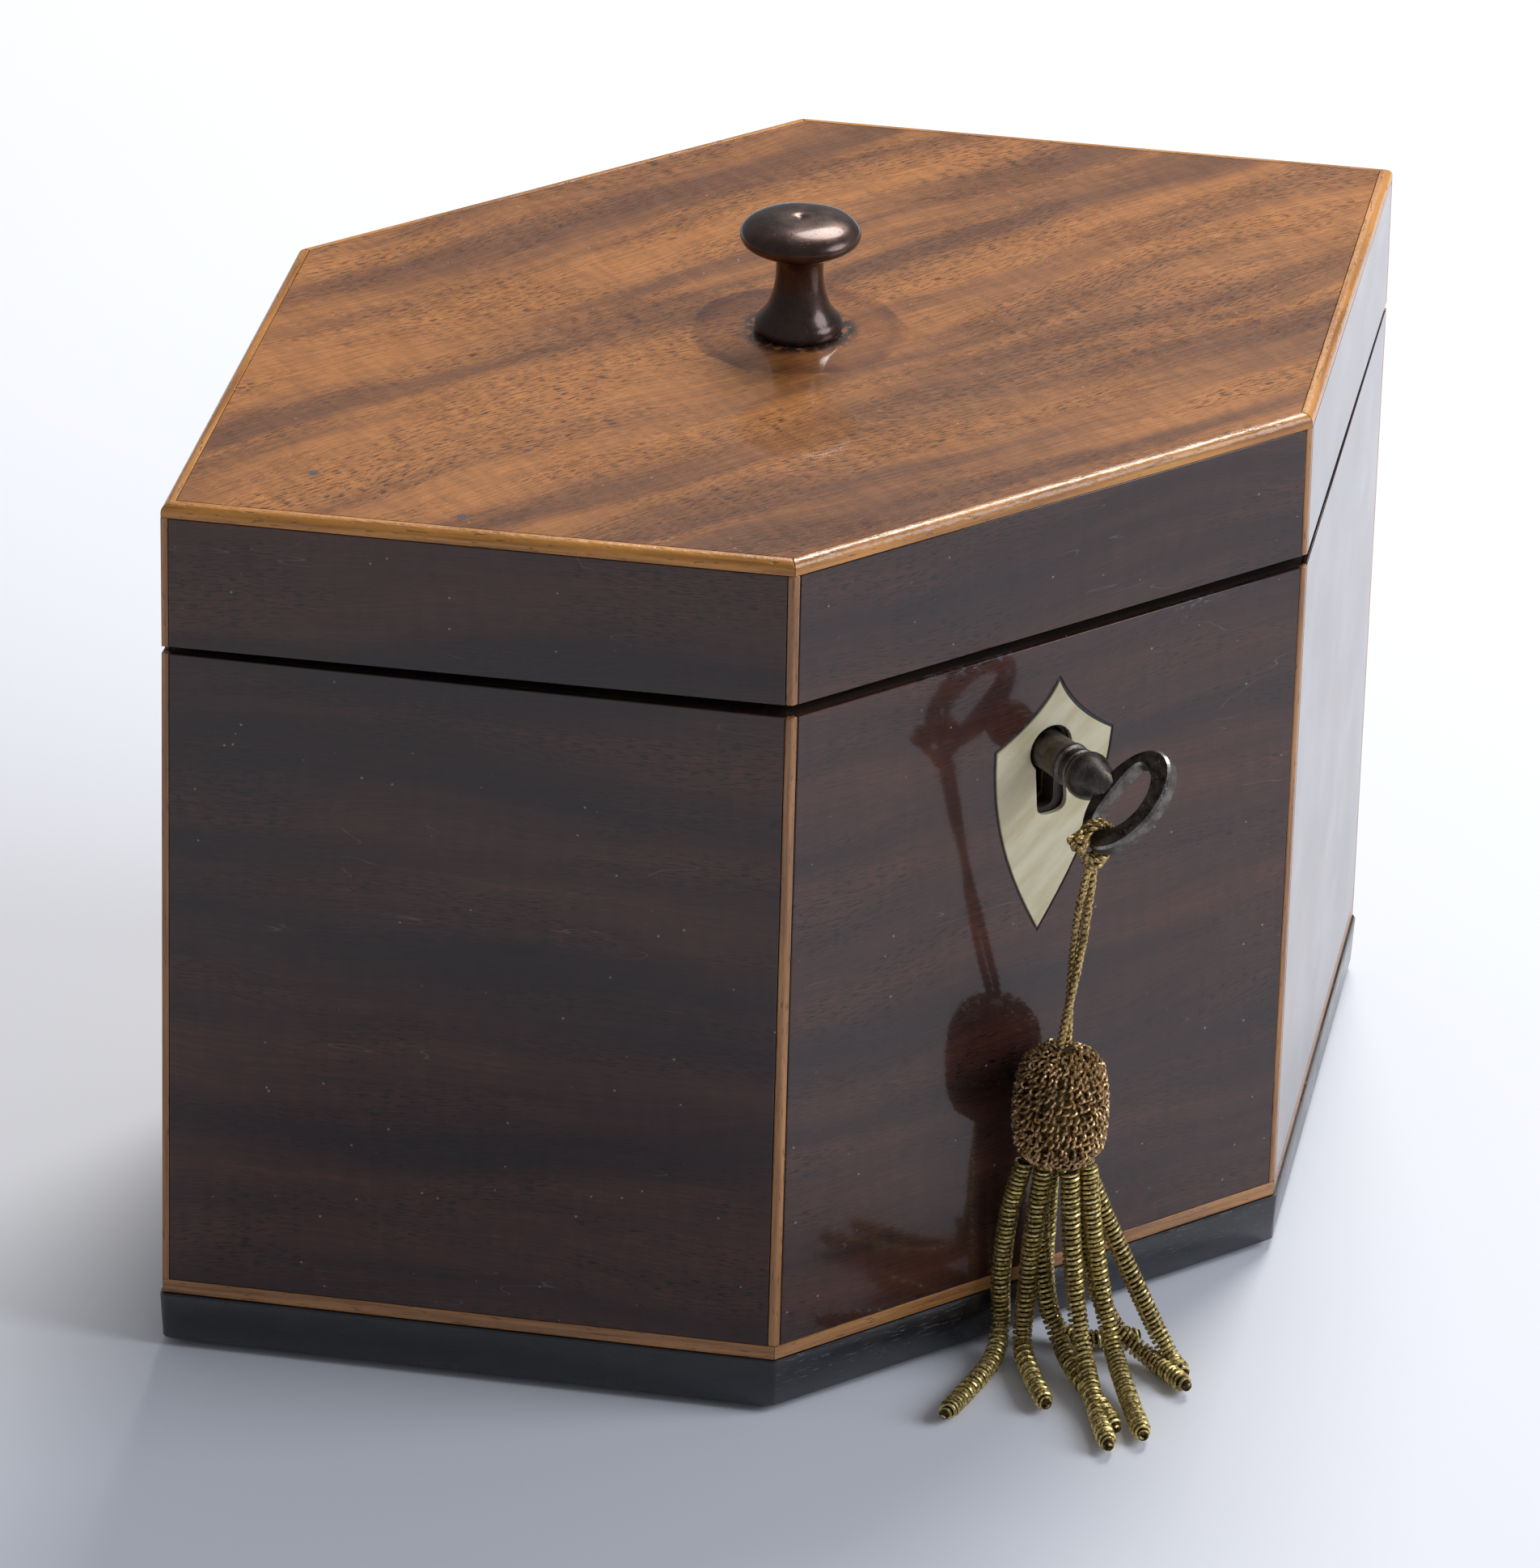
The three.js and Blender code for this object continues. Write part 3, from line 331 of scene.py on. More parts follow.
def boxwood(name, dark, light):
    """Golden lines with streaks along the grain and odd dark flecks."""
    m = Finish(name)
    grain = m.grain()
    streak = m.streaks(grain, (0.05, 1.6, 1.6), 4, 0.6)
    broad = m.streaks(grain, (0.05, 0.3, 0.3), 2)
    figure = m.math("MULTIPLY_ADD", streak, 0.6, m.times(broad, 0.4))
    color = m.mix(m.step(figure, 0.36, 0.64), dark, light)
    fleck = m.step(m.streaks(grain, (0.45, 3.0, 3.0), 2), 0.62, 0.7)
    color = m.tint(color, fleck, 0.6, scaled(dark, 0.3))
    height = m.plus(m.streaks(grain, (0.8, 1.6, 1.6), 3), m.times(fleck, -0.4))
    normal = m.bump(height, 0.09)
    return m.done(color, m.step(broad, 0.3, 0.7, 0.26, 0.42), normal, normal,
                  Coat_Weight=0.35, Coat_Roughness=0.2)


def ebonised():
    """Black stained wood, rubbed a little brown, with faint grey dust in its grain."""
    m = Finish("ebonised_wood")
    grain = m.grain()
    patch = m.noise(grain, 0.09, 4, 0.6)
    color = m.mix(m.step(patch, 0.4, 0.7), rgb(0.006, 0.0065, 0.009), rgb(0.017, 0.015, 0.018))
    pore = m.step(m.streaks(grain, (0.3, 3.2, 3.2), 3), 0.58, 0.72)
    color = m.tint(color, pore, 0.3, rgb(0.05, 0.04, 0.04))
    height = m.minus(m.times(patch, 0.5), pore)
    return m.done(color, m.step(patch, 0.3, 0.7, 0.22, 0.4), m.bump(height, 0.05),
                  Coat_Weight=0.35, Coat_Roughness=0.16)


def carcase_wood(name, turn, keyway=False):
    """Plain unpolished timber, near-black where the lid meets the rim (partly a stain, partly painted shade
    in the seam gap) and with painted shade round the keyway.
    """
    m = Finish(name)
    place = m.stretch(m.place(), (1, 1, 1), turn)
    rings = m.streaks(place, (0.012, 0.35, 0.35), 4, 0.6, 0.6)
    fibre = m.streaks(place, (0.12, 3.5, 3.5), 3, 0.6)
    color = m.mix(m.step(rings, 0.35, 0.65), rgb(0.17, 0.085, 0.038), rgb(0.30, 0.17, 0.08))
    color = m.shade(color, m.step(fibre, 0.3, 0.7), rgb(0.7, 0.68, 0.66), rgb(1.12, 1.12, 1.1))
    dirt = m.step(m.noise(place, 0.05, 4), 0.45, 0.75)
    color = m.tint(color, dirt, 0.35, rgb(0.06, 0.035, 0.02))
    parts = m.split(m.place())
    # Near-black band at the seam: partly a stain, partly painted shade in the gap between lid and rim.
    from_seam = m.math("ABSOLUTE", m.minus(parts[2], RIM_Z + SEAM / 2))
    stain_and_shade = m.step(from_seam, 0.7, 1.5, 1.0, 0.0)
    if keyway:
        # Painted shade round the keyway, so the keyhole's wooden sides read dark.
        up = m.add("ShaderNodeCombineXYZ", {"X": parts[0], "Y": m.times(parts[2], 0.5)})
        stain_and_shade = m.math("MAXIMUM", stain_and_shade, m.spot(up, 0.5, KEY_Z / 2 - 1.3, 5.5, 6.5))
    color = m.tint(color, stain_and_shade, m.step(rings, 0.3, 0.7, 0.98, 0.9), rgb(0.010, 0.0065, 0.005))
    return m.done(color, m.step(fibre, 0.3, 0.7, 0.5, 0.72), m.bump(fibre, 0.12))


def bone():
    """Polished bone: cream, with fine slanting streaks and pinpoint pores."""
    m = Finish("bone")
    grain = m.grain()
    slant = m.stretch(grain, (1, 1, 1), math.radians(-38))
    streak = m.streaks(slant, (0.14, 2.4, 1.0), 4, 0.62)
    broad = m.streaks(slant, (0.1, 0.35, 0.3), 3)
    color = m.mix(m.step(broad, 0.34, 0.66), rgb(0.50, 0.42, 0.235), rgb(0.62, 0.555, 0.37))
    color = m.tint(color, m.step(streak, 0.5, 0.72), 0.35, rgb(0.50, 0.42, 0.23))
    pore = m.step(m.cells(m.stretch(slant, (0.5, 1.6, 1.0)), 0.9), 0.1, 0.04)
    color = m.tint(color, pore, 0.5, rgb(0.20, 0.15, 0.09))
    return m.done(color, m.step(streak, 0.3, 0.7, 0.26, 0.4), m.bump(m.minus(streak, pore), 0.02),
                  Coat_Weight=0.3, Coat_Roughness=0.12, Subsurface_Weight=0.08, Subsurface_Scale=0.001)


def metal(name, dark, light, rough, patch_mm, scratch, depth_mm, metallic=1.0, coat=0.0):
    """Aged metal: patches of tarnish, pits, and fine scratches."""
    m = Finish(name)
    place = m.place()
    patch = m.noise(place, 1 / patch_mm, 4, 0.62)
    color = m.mix(m.step(patch, 0.34, 0.68), dark, light)
    pits = m.step(m.noise(place, 3.1, 2), 0.6, 0.72)
    color = m.tint(color, pits, 0.55, scaled(dark, 0.35))
    lines = m.noise(m.stretch(place, (0.25, 6.0, 6.0), 0.5), 1.0, 2)
    color = m.tint(color, m.step(lines, 0.58, 0.7), scratch, scaled(light, 1.3))
    height = m.minus(m.times(patch, 0.6), pits)
    return m.done(color, m.step(patch, 0.3, 0.7, *rough), m.bump(height, depth_mm),
                  Metallic=metallic, Coat_Weight=coat, Coat_Roughness=0.1)


def thread(name, dark, light, fibre_scale):
    """Gilt metal thread: bright wraps over a brown core."""
    m = Finish(name)
    place = m.place()
    wraps = m.noise(place, fibre_scale, 2, 0.6)
    color = m.mix(m.step(wraps, 0.38, 0.62), dark, light)
    tarnish = m.step(m.noise(place, 0.22, 3), 0.42, 0.68)
    color = m.tint(color, tarnish, 0.45, scaled(dark, 0.5))
    return m.done(color, m.step(wraps, 0.3, 0.7, 0.24, 0.44), m.bump(wraps, 0.06), Metallic=0.85)


def foil():
    """Dull lead foil with soft wrinkles, darker where it has oxidised."""
    m = Finish("foil")
    place = m.place()
    cloud = m.noise(place, 0.06, 4, 0.6)
    color = m.mix(m.step(cloud, 0.35, 0.68), rgb(0.16, 0.16, 0.155), rgb(0.42, 0.42, 0.41))
    stain = m.step(m.noise(place, 0.4, 3), 0.6, 0.74)
    color = m.tint(color, stain, 0.4, rgb(0.09, 0.075, 0.06))
    return m.done(color, m.step(cloud, 0.3, 0.7, 0.38, 0.6), m.bump(m.noise(place, 0.5, 4, 0.6), 0.2),
                  Metallic=0.85)


def mastic():
    """Dark filler round the shield."""
    m = Finish("mastic")
    place = m.place()
    lumps = m.noise(place, 1.4, 3)
    color = m.mix(m.step(lumps, 0.35, 0.65), rgb(0.008, 0.009, 0.01), rgb(0.035, 0.035, 0.036))
    return m.done(color, m.step(lumps, 0.3, 0.7, 0.45, 0.7), m.bump(lumps, 0.1))


SIDE_WOOD = mahogany("mahogany", rgb(0.018, 0.008, 0.008), rgb(0.082, 0.027, 0.017), 9.0, 0.19, rim_chips)
TOP_WOOD = mahogany("figured_mahogany", rgb(0.19, 0.074, 0.03), rgb(0.47, 0.185, 0.052), 8.5, 0.12,
                    top_marks)
INNER_WOOD = mahogany("inner_mahogany", rgb(0.10, 0.035, 0.018), rgb(0.22, 0.085, 0.038), 9.0, 0.16)
LINE_WOOD = boxwood("boxwood", rgb(0.24, 0.095, 0.027), rgb(0.47, 0.215, 0.07))
BEAD_WOOD = boxwood("boxwood_bead", rgb(0.32, 0.115, 0.016), rgb(0.64, 0.27, 0.048))
BLACK_WOOD = ebonised()
PLAIN_WOOD = {0: carcase_wood("carcase_wood", 0.0),
              45: carcase_wood("carcase_wood_right", math.radians(-45)),
              -45: carcase_wood("carcase_wood_left", math.radians(45)),
              "keyway": carcase_wood("carcase_wood_front", 0.0, True)}
BONE = bone()
BRASS = metal("brass", rgb(0.33, 0.2, 0.07), rgb(0.58, 0.40, 0.155), (0.28, 0.46), 4.0, 0.2, 0.012)
BRONZE = metal("bronze", rgb(0.05, 0.028, 0.022), rgb(0.095, 0.055, 0.042), (0.24, 0.36), 5.0, 0.12, 0.012,
               0.8, 0.3)
STEEL = metal("steel", rgb(0.085, 0.072, 0.062), rgb(0.19, 0.168, 0.15), (0.32, 0.5), 1.6, 0.2, 0.03)
WORN_STEEL = metal("steel_worn", rgb(0.2, 0.185, 0.17), rgb(0.40, 0.385, 0.37), (0.24, 0.36), 1.6, 0.2,
                   0.02)
CORD_GILT = thread("gilt_cord", rgb(0.22, 0.14, 0.05), rgb(0.80, 0.58, 0.24), 3.4)
HEAD_GILT = thread("gilt_head", rgb(0.32, 0.19, 0.085), rgb(0.80, 0.54, 0.27), 3.0)
WIRE_GILT = thread("gilt_wire", rgb(0.36, 0.25, 0.075), rgb(0.95, 0.78, 0.34), 2.6)
CORE_GILT = thread("gilt_core", rgb(0.035, 0.02, 0.008), rgb(0.12, 0.075, 0.022), 2.6)
FOIL = foil()
MASTIC = mastic()

# ---- meshes


def new_object(name, points, faces):
    mesh = bpy.data.meshes.new(name)
    mesh.from_pydata([tuple(p) for p in points], [], faces)
    mesh.validate()
    obj = bpy.data.objects.new(name, mesh)
    bpy.context.scene.collection.objects.link(obj)
    return obj


def face_out(obj):
    """Makes a closed mesh's faces point out."""
    bm = bmesh.new()
    bm.from_mesh(obj.data)
    bmesh.ops.recalc_face_normals(bm, faces=bm.faces)
    bm.to_mesh(obj.data)
    bm.free()
    return obj


def loft(name, loops, closed=False):
    """Joins loops of points of equal length into one skin, capped at both ends or closed on itself."""
    count = len(loops[0])
    points = [p for loop in loops for p in loop]
    faces = []
    for i in range(len(loops) if closed else len(loops) - 1):
        here, there = i * count, (i + 1) % len(loops) * count
        for j in range(count):
            k = (j + 1) % count
            faces.append((here + j, here + k, there + k, there + j))
    if not closed:
        faces.append(tuple(reversed(range(count))))
        faces.append(tuple(range(len(points) - count, len(points))))
    return face_out(new_object(name, points, faces))


def prism(name, outline, z0, z1):
    """An upright prism over an outline in plan."""
    return loft(name, [[(p[0], p[1], z) for p in outline] for z in (z0, z1)])


def slab(name, outline, y0, y1):
    """An outline in X and Z as seen from the front, thickened from y0 back to y1."""
    return loft(name, [[(p[0], y, p[1]) for p in outline] for y in (y0, y1)])


def box(name, x0, x1, y0, y1, z0, z1):
    return prism(name, [(x0, y0), (x1, y0), (x1, y1), (x0, y1)], z0, z1)


AXES = {"x": lambda r, a, t: (a, r * math.cos(t), r * math.sin(t)),
        "y": lambda r, a, t: (r * math.sin(t), a, r * math.cos(t)),
        "z": lambda r, a, t: (r * math.cos(t), r * math.sin(t), a)}


def turned(name, profile, axis, segments, centre=(0, 0, 0)):
    """A turned piece from (radius, distance along) pairs, flat at both ends."""
    place = AXES[axis]
    centre = Vector(centre)
    loops = [[centre + Vector(place(radius, along, 2 * math.pi * i / segments)) for i in range(segments)]
             for radius, along in profile]
    return loft(name, loops)


def curve_through(points, steps):
    """Points on a smooth curve through the given ones, steps for each stretch."""
    points = [Vector(p) for p in points]
    ends = [2 * points[0] - points[1], *points, 2 * points[-1] - points[-2]]
    line = []
    for i in range(len(points) - 1):
        a, b, c, d = ends[i:i + 4]
        for k in range(steps):
            t = k / steps
            line.append(0.5 * (2 * b + (c - a) * t + (2 * a - 5 * b + 4 * c - d) * t * t
                               + (3 * b - a - 3 * c + d) * t ** 3))
    return [*line, points[-1]]


def frames_along(line):
    """A direction, and two across it, at each point of a line, without twist."""
    ahead = [(line[min(i + 1, len(line) - 1)] - line[max(i - 1, 0)]).normalized() for i in range(len(line))]
    across = ahead[0].orthogonal().normalized()
    frames = []
    for i, direction in enumerate(ahead):
        if i:
            across = (ahead[i - 1].rotation_difference(direction) @ across).normalized()
        across = (across - direction * across.dot(direction)).normalized()
        frames.append((direction, across, direction.cross(across)))
    return frames


def tube_loops(line, radius, sides):
    """Rings round a line. The radius is a number or a function of the share of the way along."""
    loops = []
    for i, (point, (_, u, v)) in enumerate(zip(line, frames_along(line))):
        r = radius(i / (len(line) - 1)) if callable(radius) else radius
        loops.append([point + (u * math.cos(a) + v * math.sin(a)) * r
                      for a in (2 * math.pi * k / sides for k in range(sides))])
    return loops


def tubes(name, jobs):
    """Several tubes as one mesh. Each job is a line, a radius and a number of sides."""
    points, faces = [], []
    for line, radius, sides in jobs:
        base = len(points)
        loops = tube_loops(line, radius, sides)
        points += [p for loop in loops for p in loop]
        for i in range(len(loops) - 1):
            here, there = base + i * sides, base + (i + 1) * sides
            faces += [(here + j, here + (j + 1) % sides, there + (j + 1) % sides, there + j)
                      for j in range(sides)]
        faces.append(tuple(reversed(range(base, base + sides))))
        faces.append(tuple(range(len(points) - sides, len(points))))
    return face_out(new_object(name, points, faces))


def helix(line, radius, pitch, per_turn, start):
    """A line that winds round another."""
    lengths = [0.0]
    for a, b in zip(line, line[1:]):
        lengths.append(lengths[-1] + (b - a).length)
    frames = frames_along(line)
    wound, at = [], 0
    total = max(2, int(lengths[-1] / pitch * per_turn))
    for i in range(total + 1):
        along = lengths[-1] * i / total
        while at < len(lengths) - 2 and lengths[at + 1] < along:
            at += 1
        share = (along - lengths[at]) / max(lengths[at + 1] - lengths[at], 1e-9)
        point = line[at].lerp(line[at + 1], share)
        _, u, v = frames[at if share < 0.5 else at + 1]
        angle = start + 2 * math.pi * i / per_turn
        reach = radius(along / lengths[-1]) if callable(radius) else radius
        wound.append(point + (u * math.cos(angle) + v * math.sin(angle)) * reach)
    return wound


def combine(obj, other, operation):
    """Cuts another object from this one, or joins it on, and removes the other."""
    modifier = obj.modifiers.new("combine", "BOOLEAN")
    modifier.object, modifier.operation, modifier.solver = other, operation, "EXACT"
    made = bpy.data.meshes.new_from_object(obj.evaluated_get(bpy.context.evaluated_depsgraph_get()))
    obj.modifiers.clear()
    obj.data = made
    bpy.data.objects.remove(other)
    return obj


def cut(obj, *tools):
    for tool in tools:
        combine(obj, tool, "DIFFERENCE")
    return obj


def join(obj, *others):
    for other in others:
        combine(obj, other, "UNION")
    return obj


def smooth(obj, degrees):
    for polygon in obj.data.polygons:
        polygon.use_smooth = True
    obj.data.set_sharp_from_angle(angle=math.radians(degrees))


def bevel(obj, width, segments, degrees=30, unit=1.0):
    modifier = obj.modifiers.new("bevel", "BEVEL")
    modifier.width, modifier.segments = width * unit, segments
    modifier.limit_method, modifier.angle_limit = "ANGLE", math.radians(degrees)
    modifier.use_clamp_overlap = True


def set_grain(obj, direction):
    """Stores the grain's coordinates at each point. direction gives them from a place."""
    attribute = obj.data.attributes.new("grain", "FLOAT_VECTOR", "POINT")
    values = [value for vertex in obj.data.vertices for value in direction(vertex.co)]
    attribute.data.foreach_set("vector", values)


def finish(obj, body, material, place=AS_MADE, replaces=(), grain=None, edge=0.0, sharp=35,
           segments=3):
    """Gives a piece its material and edges, and puts it where it belongs on its body."""
    if grain:
        set_grain(obj, grain)
    if not obj.data.materials:
        obj.data.materials.append(material)
    smooth(obj, sharp)
    if edge:
        bevel(obj, edge * MM, segments)
    obj.data.transform(Matrix.Scale(MM, 4) @ place)
    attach(obj, body)
    if replaces:
        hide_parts(*replaces)
    return obj


def side_grain(side, shift):
    """Grain that runs along a side, with height as its second direction."""
    start, run = CORNERS[side], run_of(side)

    def at(p):
        x, y = p.x - start.x, p.y - start.y
        return x * run.x + y * run.y + shift, p.z + shift * 0.37, -x * run.y + y * run.x
    return at


def upright_grain(shift):
    return lambda p: (p.z + shift, p.x, p.y)


def plan_grain(p):
    return p.x, p.y, p.z


def front_grain(p):
    return p.x, p.z, p.y


# ---- the case: veneers, lines, plinth

SHEETS = (("veneer_", AS_MADE, "caddy", LINE_TOP, RIM_Z),
             ("lid_veneer_", ON_LID, "lid", LID_Z, BEAD_Z - GLUE))
SHIELD_FOOT = Vector((-0.75, 57.1))
SHIELD_LEAN = math.radians(3.4)
SHIELD_H, SHIELD_HALF, SHIELD_HORN = 33.3, 8.6, 25.3
SHIELD_T, SHIELD_PROUD = 0.65, 0.1
SHIELD_GAP = 0.35
CURVE_STEPS = 14


def bezier(a, b, c, d, steps):
    """Points on a cubic curve, without its last."""
    return [((1 - t) ** 3) * a + 3 * t * (1 - t) ** 2 * b + 3 * t * t * (1 - t) * c + t ** 3 * d
            for t in (i / steps for i in range(steps))]


def shield(margin):
    """The shield's outline in X and Z, leaning as it was let in, grown outwards by margin."""
    half, horn = SHIELD_HALF + margin, SHIELD_HORN + margin * 0.4
    top, foot = Vector((0, SHIELD_H + 2 * margin)), Vector((0, -1.6 * margin))
    tip = Vector((half, horn))
    shoulder = Vector((2.3 + margin, 28.7 + margin))
    belly = bezier(foot, Vector((3.6, 6 + foot.y)), Vector((half - 0.4, 13.5)), tip, CURVE_STEPS)
    brow = bezier(tip, tip.lerp(shoulder, 2 / 3), top.lerp(shoulder, 2 / 3), top, CURVE_STEPS)
    right = belly + brow
    left = [Vector((-p.x, p.y)) for p in reversed([*right[1:], top])]
    turn = Matrix.Rotation(-SHIELD_LEAN, 2)
    return [SHIELD_FOOT + turn @ p for p in [*right, *left]]


def keyhole(x, z, radius, slot_x, slot_half, slot_z):
    """A round over a slot with a rounded foot, in X and Z."""
    steps = 20
    meet = math.asin(slot_half / radius)
    foot = slot_z + slot_half * 0.7
    left, right, middle = slot_x - slot_half, slot_x + slot_half, Vector((slot_x, slot_z))
    points = bezier(Vector((left, foot)), Vector((left, slot_z + 0.2)),
                    Vector((slot_x - slot_half * 0.5, slot_z)), middle, 6)
    points += bezier(middle, Vector((slot_x + slot_half * 0.5, slot_z)),
                     Vector((right, slot_z + 0.2)), Vector((right, foot)), 6)
    points.append(Vector((right, foot)))
    for i in range(steps + 1):
        angle = -math.pi / 2 + meet + (2 * math.pi - 2 * meet) * i / steps
        points.append(Vector((x + radius * math.cos(angle), z + radius * math.sin(angle))))
    return points


HINGE_X = {"left": -23, "right": 23}
HINGE_HALF = 9
RECESS_GAP = 0.2
LEAF_Y = BACK - 7.2


def hinge_notches(z0, z1):
    half = HINGE_HALF + RECESS_GAP
    return [box("notch", x - half, x + half, LEAF_Y, BACK + 1, z0, z1) for x in HINGE_X.values()]


def veneers():
    for prefix, place, body, z0, z1 in SHEETS:
        for side, name in enumerate(SIDES):
            ends = (LINE_W + GLUE, PANEL - LINE_W - GLUE)
            outline = [on_side(side, *p) for p in
                       ((ends[0], 0), (ends[1], 0), (ends[1], VENEER), (ends[0], VENEER))]
            sheet = prism(f"{prefix}{name}_sheet", outline, z0, z1)
            if name == "front" and body == "caddy":
                cut(sheet, slab("recess", shield(SHIELD_GAP), FRONT - 1, FRONT + 2))
            if name == "back":
                cut(sheet, *(hinge_notches(RIM_Z - 1.1, RIM_Z + 1) if body == "caddy"
                             else hinge_notches(LID_Z - 1, LID_Z + 1.1)))
            finish(sheet, body, SIDE_WOOD, place, [f"{prefix}{name}"],
                   side_grain(side, 130 * side), edge=0.12, sharp=30, segments=2)


def corner_lines():
    """The line at a corner wraps it and shows on both faces."""
    for prefix, place, body, z0, z1 in (("body", AS_MADE, "caddy", LINE_TOP - 0.05, RIM_Z),
                                        ("lid", ON_LID, "lid", LID_Z, BEAD_Z - GLUE / 2)):
        for corner in range(6):
            before = (corner + 5) % 6
            outline = [on_side(corner, 0, 0), on_side(corner, LINE_W, 0), on_side(corner, LINE_W, VENEER),
                       hexagon(VENEER)[corner], on_side(before, PANEL - LINE_W, VENEER),
                       on_side(before, PANEL - LINE_W, 0)]
            line = prism(f"{prefix}_corner_line_{corner}", outline, z0, z1)
            stands_for = [f"{prefix}_stringing"] if corner == 0 else []
            finish(line, body, LINE_WOOD, place, stands_for,
                   upright_grain(90 * corner + len(prefix)), edge=0.22, sharp=40)


MITRE = 0.03  # half the hairline where two mitred lengths meet


def mitred_length(name, side, section, trim=MITRE):
    """A straight length along one side, mitred at both ends, from its section as (inset, z) pairs."""
    run = run_of(side) * trim
    ends = []
    for corner, sign in ((side, 1), ((side + 1) % 6, -1)):
        ends.append([(*(hexagon(inset)[corner] + run * sign), z) for inset, z in section])
    return loft(name, ends)


def quarter(inset, z, radius, a0, a1):
    """An arc in a section, as (inset, z) pairs."""
    steps = 7
    return [(inset + radius * math.cos(a0 + (a1 - a0) * i / steps),
             z + radius * math.sin(a0 + (a1 - a0) * i / steps)) for i in range(steps + 1)]


def base_line():
    low, high = PLINTH_H + GLUE, LINE_TOP - GLUE
    section = [(0, low), (0, high), (VENEER, high), (VENEER, low)]
    for side, name in enumerate(SIDES):
        line = mitred_length(f"base_line_{name}", side, section)
        finish(line, "caddy", LINE_WOOD, grain=side_grain(side, 210 * side + 40), edge=0.08,
               segments=2)


def edge_bead():
    section = [(0, BEAD_Z), *quarter(BEAD_ROUND, HEIGHT - BEAD_ROUND, BEAD_ROUND, math.pi, math.pi / 2),
               (BEAD_W, HEIGHT), (BEAD_W, HEIGHT - VENEER), (VENEER, HEIGHT - VENEER), (VENEER, BEAD_Z)]
    for side, name in enumerate(SIDES):
        bead = mitred_length(f"edge_bead_{name}", side, section, 0.045)
        finish(bead, "lid", BEAD_WOOD, ON_LID, ["lid_stringing"] if side == 0 else [],
               side_grain(side, 170 * side + 15), edge=0.06, sharp=50, segments=2)


def soft_hexagon(inset, radius, z):
    """The hexagon with its corners rounded, at one height."""
    steps = 5
    loop = []
    corners = hexagon(inset)
    for i, corner in enumerate(corners):
        to_last = (corners[i - 1] - corner).normalized()
        to_next = (corners[(i + 1) % 6] - corner).normalized()
        half = to_last.angle(to_next) / 2
        reach = radius / math.tan(half)
        centre = corner + (to_last + to_next).normalized() * radius / math.sin(half)
        first, last = corner + to_last * reach - centre, corner + to_next * reach - centre
        for k in range(steps + 1):
            loop.append((*(centre + first.slerp(last, k / steps)), z))
    return loop


def plinth():
    """Rounded under, more at its corners, where it has been handled and knocked."""
    foot = [(inset, z, 0.9 + 1.4 * (1 - z / PLINTH_ROUND)) for inset, z in
            quarter(PLINTH_ROUND, PLINTH_ROUND, PLINTH_ROUND, 1.5 * math.pi, math.pi)]
    section = [*foot, (0, PLINTH_H - 0.3, 0.6), (0.15, PLINTH_H, 0.6),
               (PLINTH_T, PLINTH_H, 0.2), (PLINTH_T, 0.0, 0.2)]
    loops = [soft_hexagon(inset, radius, z) for inset, z, radius in section]
    ring = loft("plinth_moulding", loops, closed=True)
    across_mm = 3  # the width over which the third direction goes on by one

    def along(p):
        return math.atan2(p.y, p.x) * HALF_LENGTH, p.z, p.length / across_mm
    finish(ring, "caddy", BLACK_WOOD, replaces=["plinth"], grain=along, sharp=50)


def lid_top():
    hairline = 0.07
    sheet = prism("lid_top_sheet", hexagon(BEAD_W + hairline), HEIGHT - VENEER, HEIGHT)
    cut(sheet, turned("stud_hole", [(1.7, HEIGHT - 2), (1.7, HEIGHT + 1)], "z", 24))
    finish(sheet, "lid", TOP_WOOD, ON_LID, ["lid_top_veneer"], plan_grain, edge=0.07,
           sharp=30, segments=2)


def escutcheon():
    plate = slab("bone_shield", shield(0), FRONT - SHIELD_PROUD, FRONT + SHIELD_T)
    hole = keyhole(0.3, KEY_Z + 0.1, 3.1, 0.7, 2.2, 72.4)
    cut(plate, slab("hole", hole, FRONT - 1, FRONT + 2))
    filler = slab("shield_mastic", shield(SHIELD_GAP - 0.01), FRONT + 0.14, FRONT + 0.6)
    cut(filler, slab("inner", shield(0.02), FRONT - 1, FRONT + 2))
    finish(plate, "caddy", BONE, replaces=["escutcheon"], grain=front_grain, edge=0.1, sharp=30)
    finish(filler, "caddy", MASTIC)


KNOB_PROFILE = [(5.2, 0.05), (5.42, 0.5), (5.4, 1.1), (5.15, 1.75), (4.6, 2.4), (3.95, 3.4), (3.4, 4.9),
                (3.05, 6.5), (2.92, 8.2), (3.0, 9.5), (3.45, 10.5), (4.7, 11.15), (6.1, 11.55),
                (7.1, 12.15),
                (7.45, 12.95), (7.2, 13.75), (6.3, 14.5), (4.8, 15.05), (3.1, 15.32), (1.5, 15.38),
                (0.8, 15.3), (0.25, 15.12)]


def smooth_profile(profile, steps=4):
    return [(p.x, p.y) for p in curve_through([Vector((r, z, 0)) for r, z in profile], steps)]


def knob():
    profile = [(r, z + HEIGHT) for r, z in smooth_profile(KNOB_PROFILE)]
    piece = turned("knob_turning", profile, "z", 96)
    for vertex in piece.data.vertices:
        swell = 0.06 * noise.noise(vertex.co * 0.25)
        vertex.co.x *= 1 + swell * 0.3
        vertex.co.z += swell
    stud = turned("stud", [(1.4, HEIGHT - 4.5), (1.4, HEIGHT + 0.5)], "z", 24)
    finish(join(piece, stud), "lid", BRONZE, ON_LID, ["knob"], sharp=50)


# ---- inside


def crumple(obj, amount, scale, keep):
    for vertex in obj.data.vertices:
        if not keep(vertex.co):
            vertex.co += noise.noise_vector(vertex.co * scale) * amount


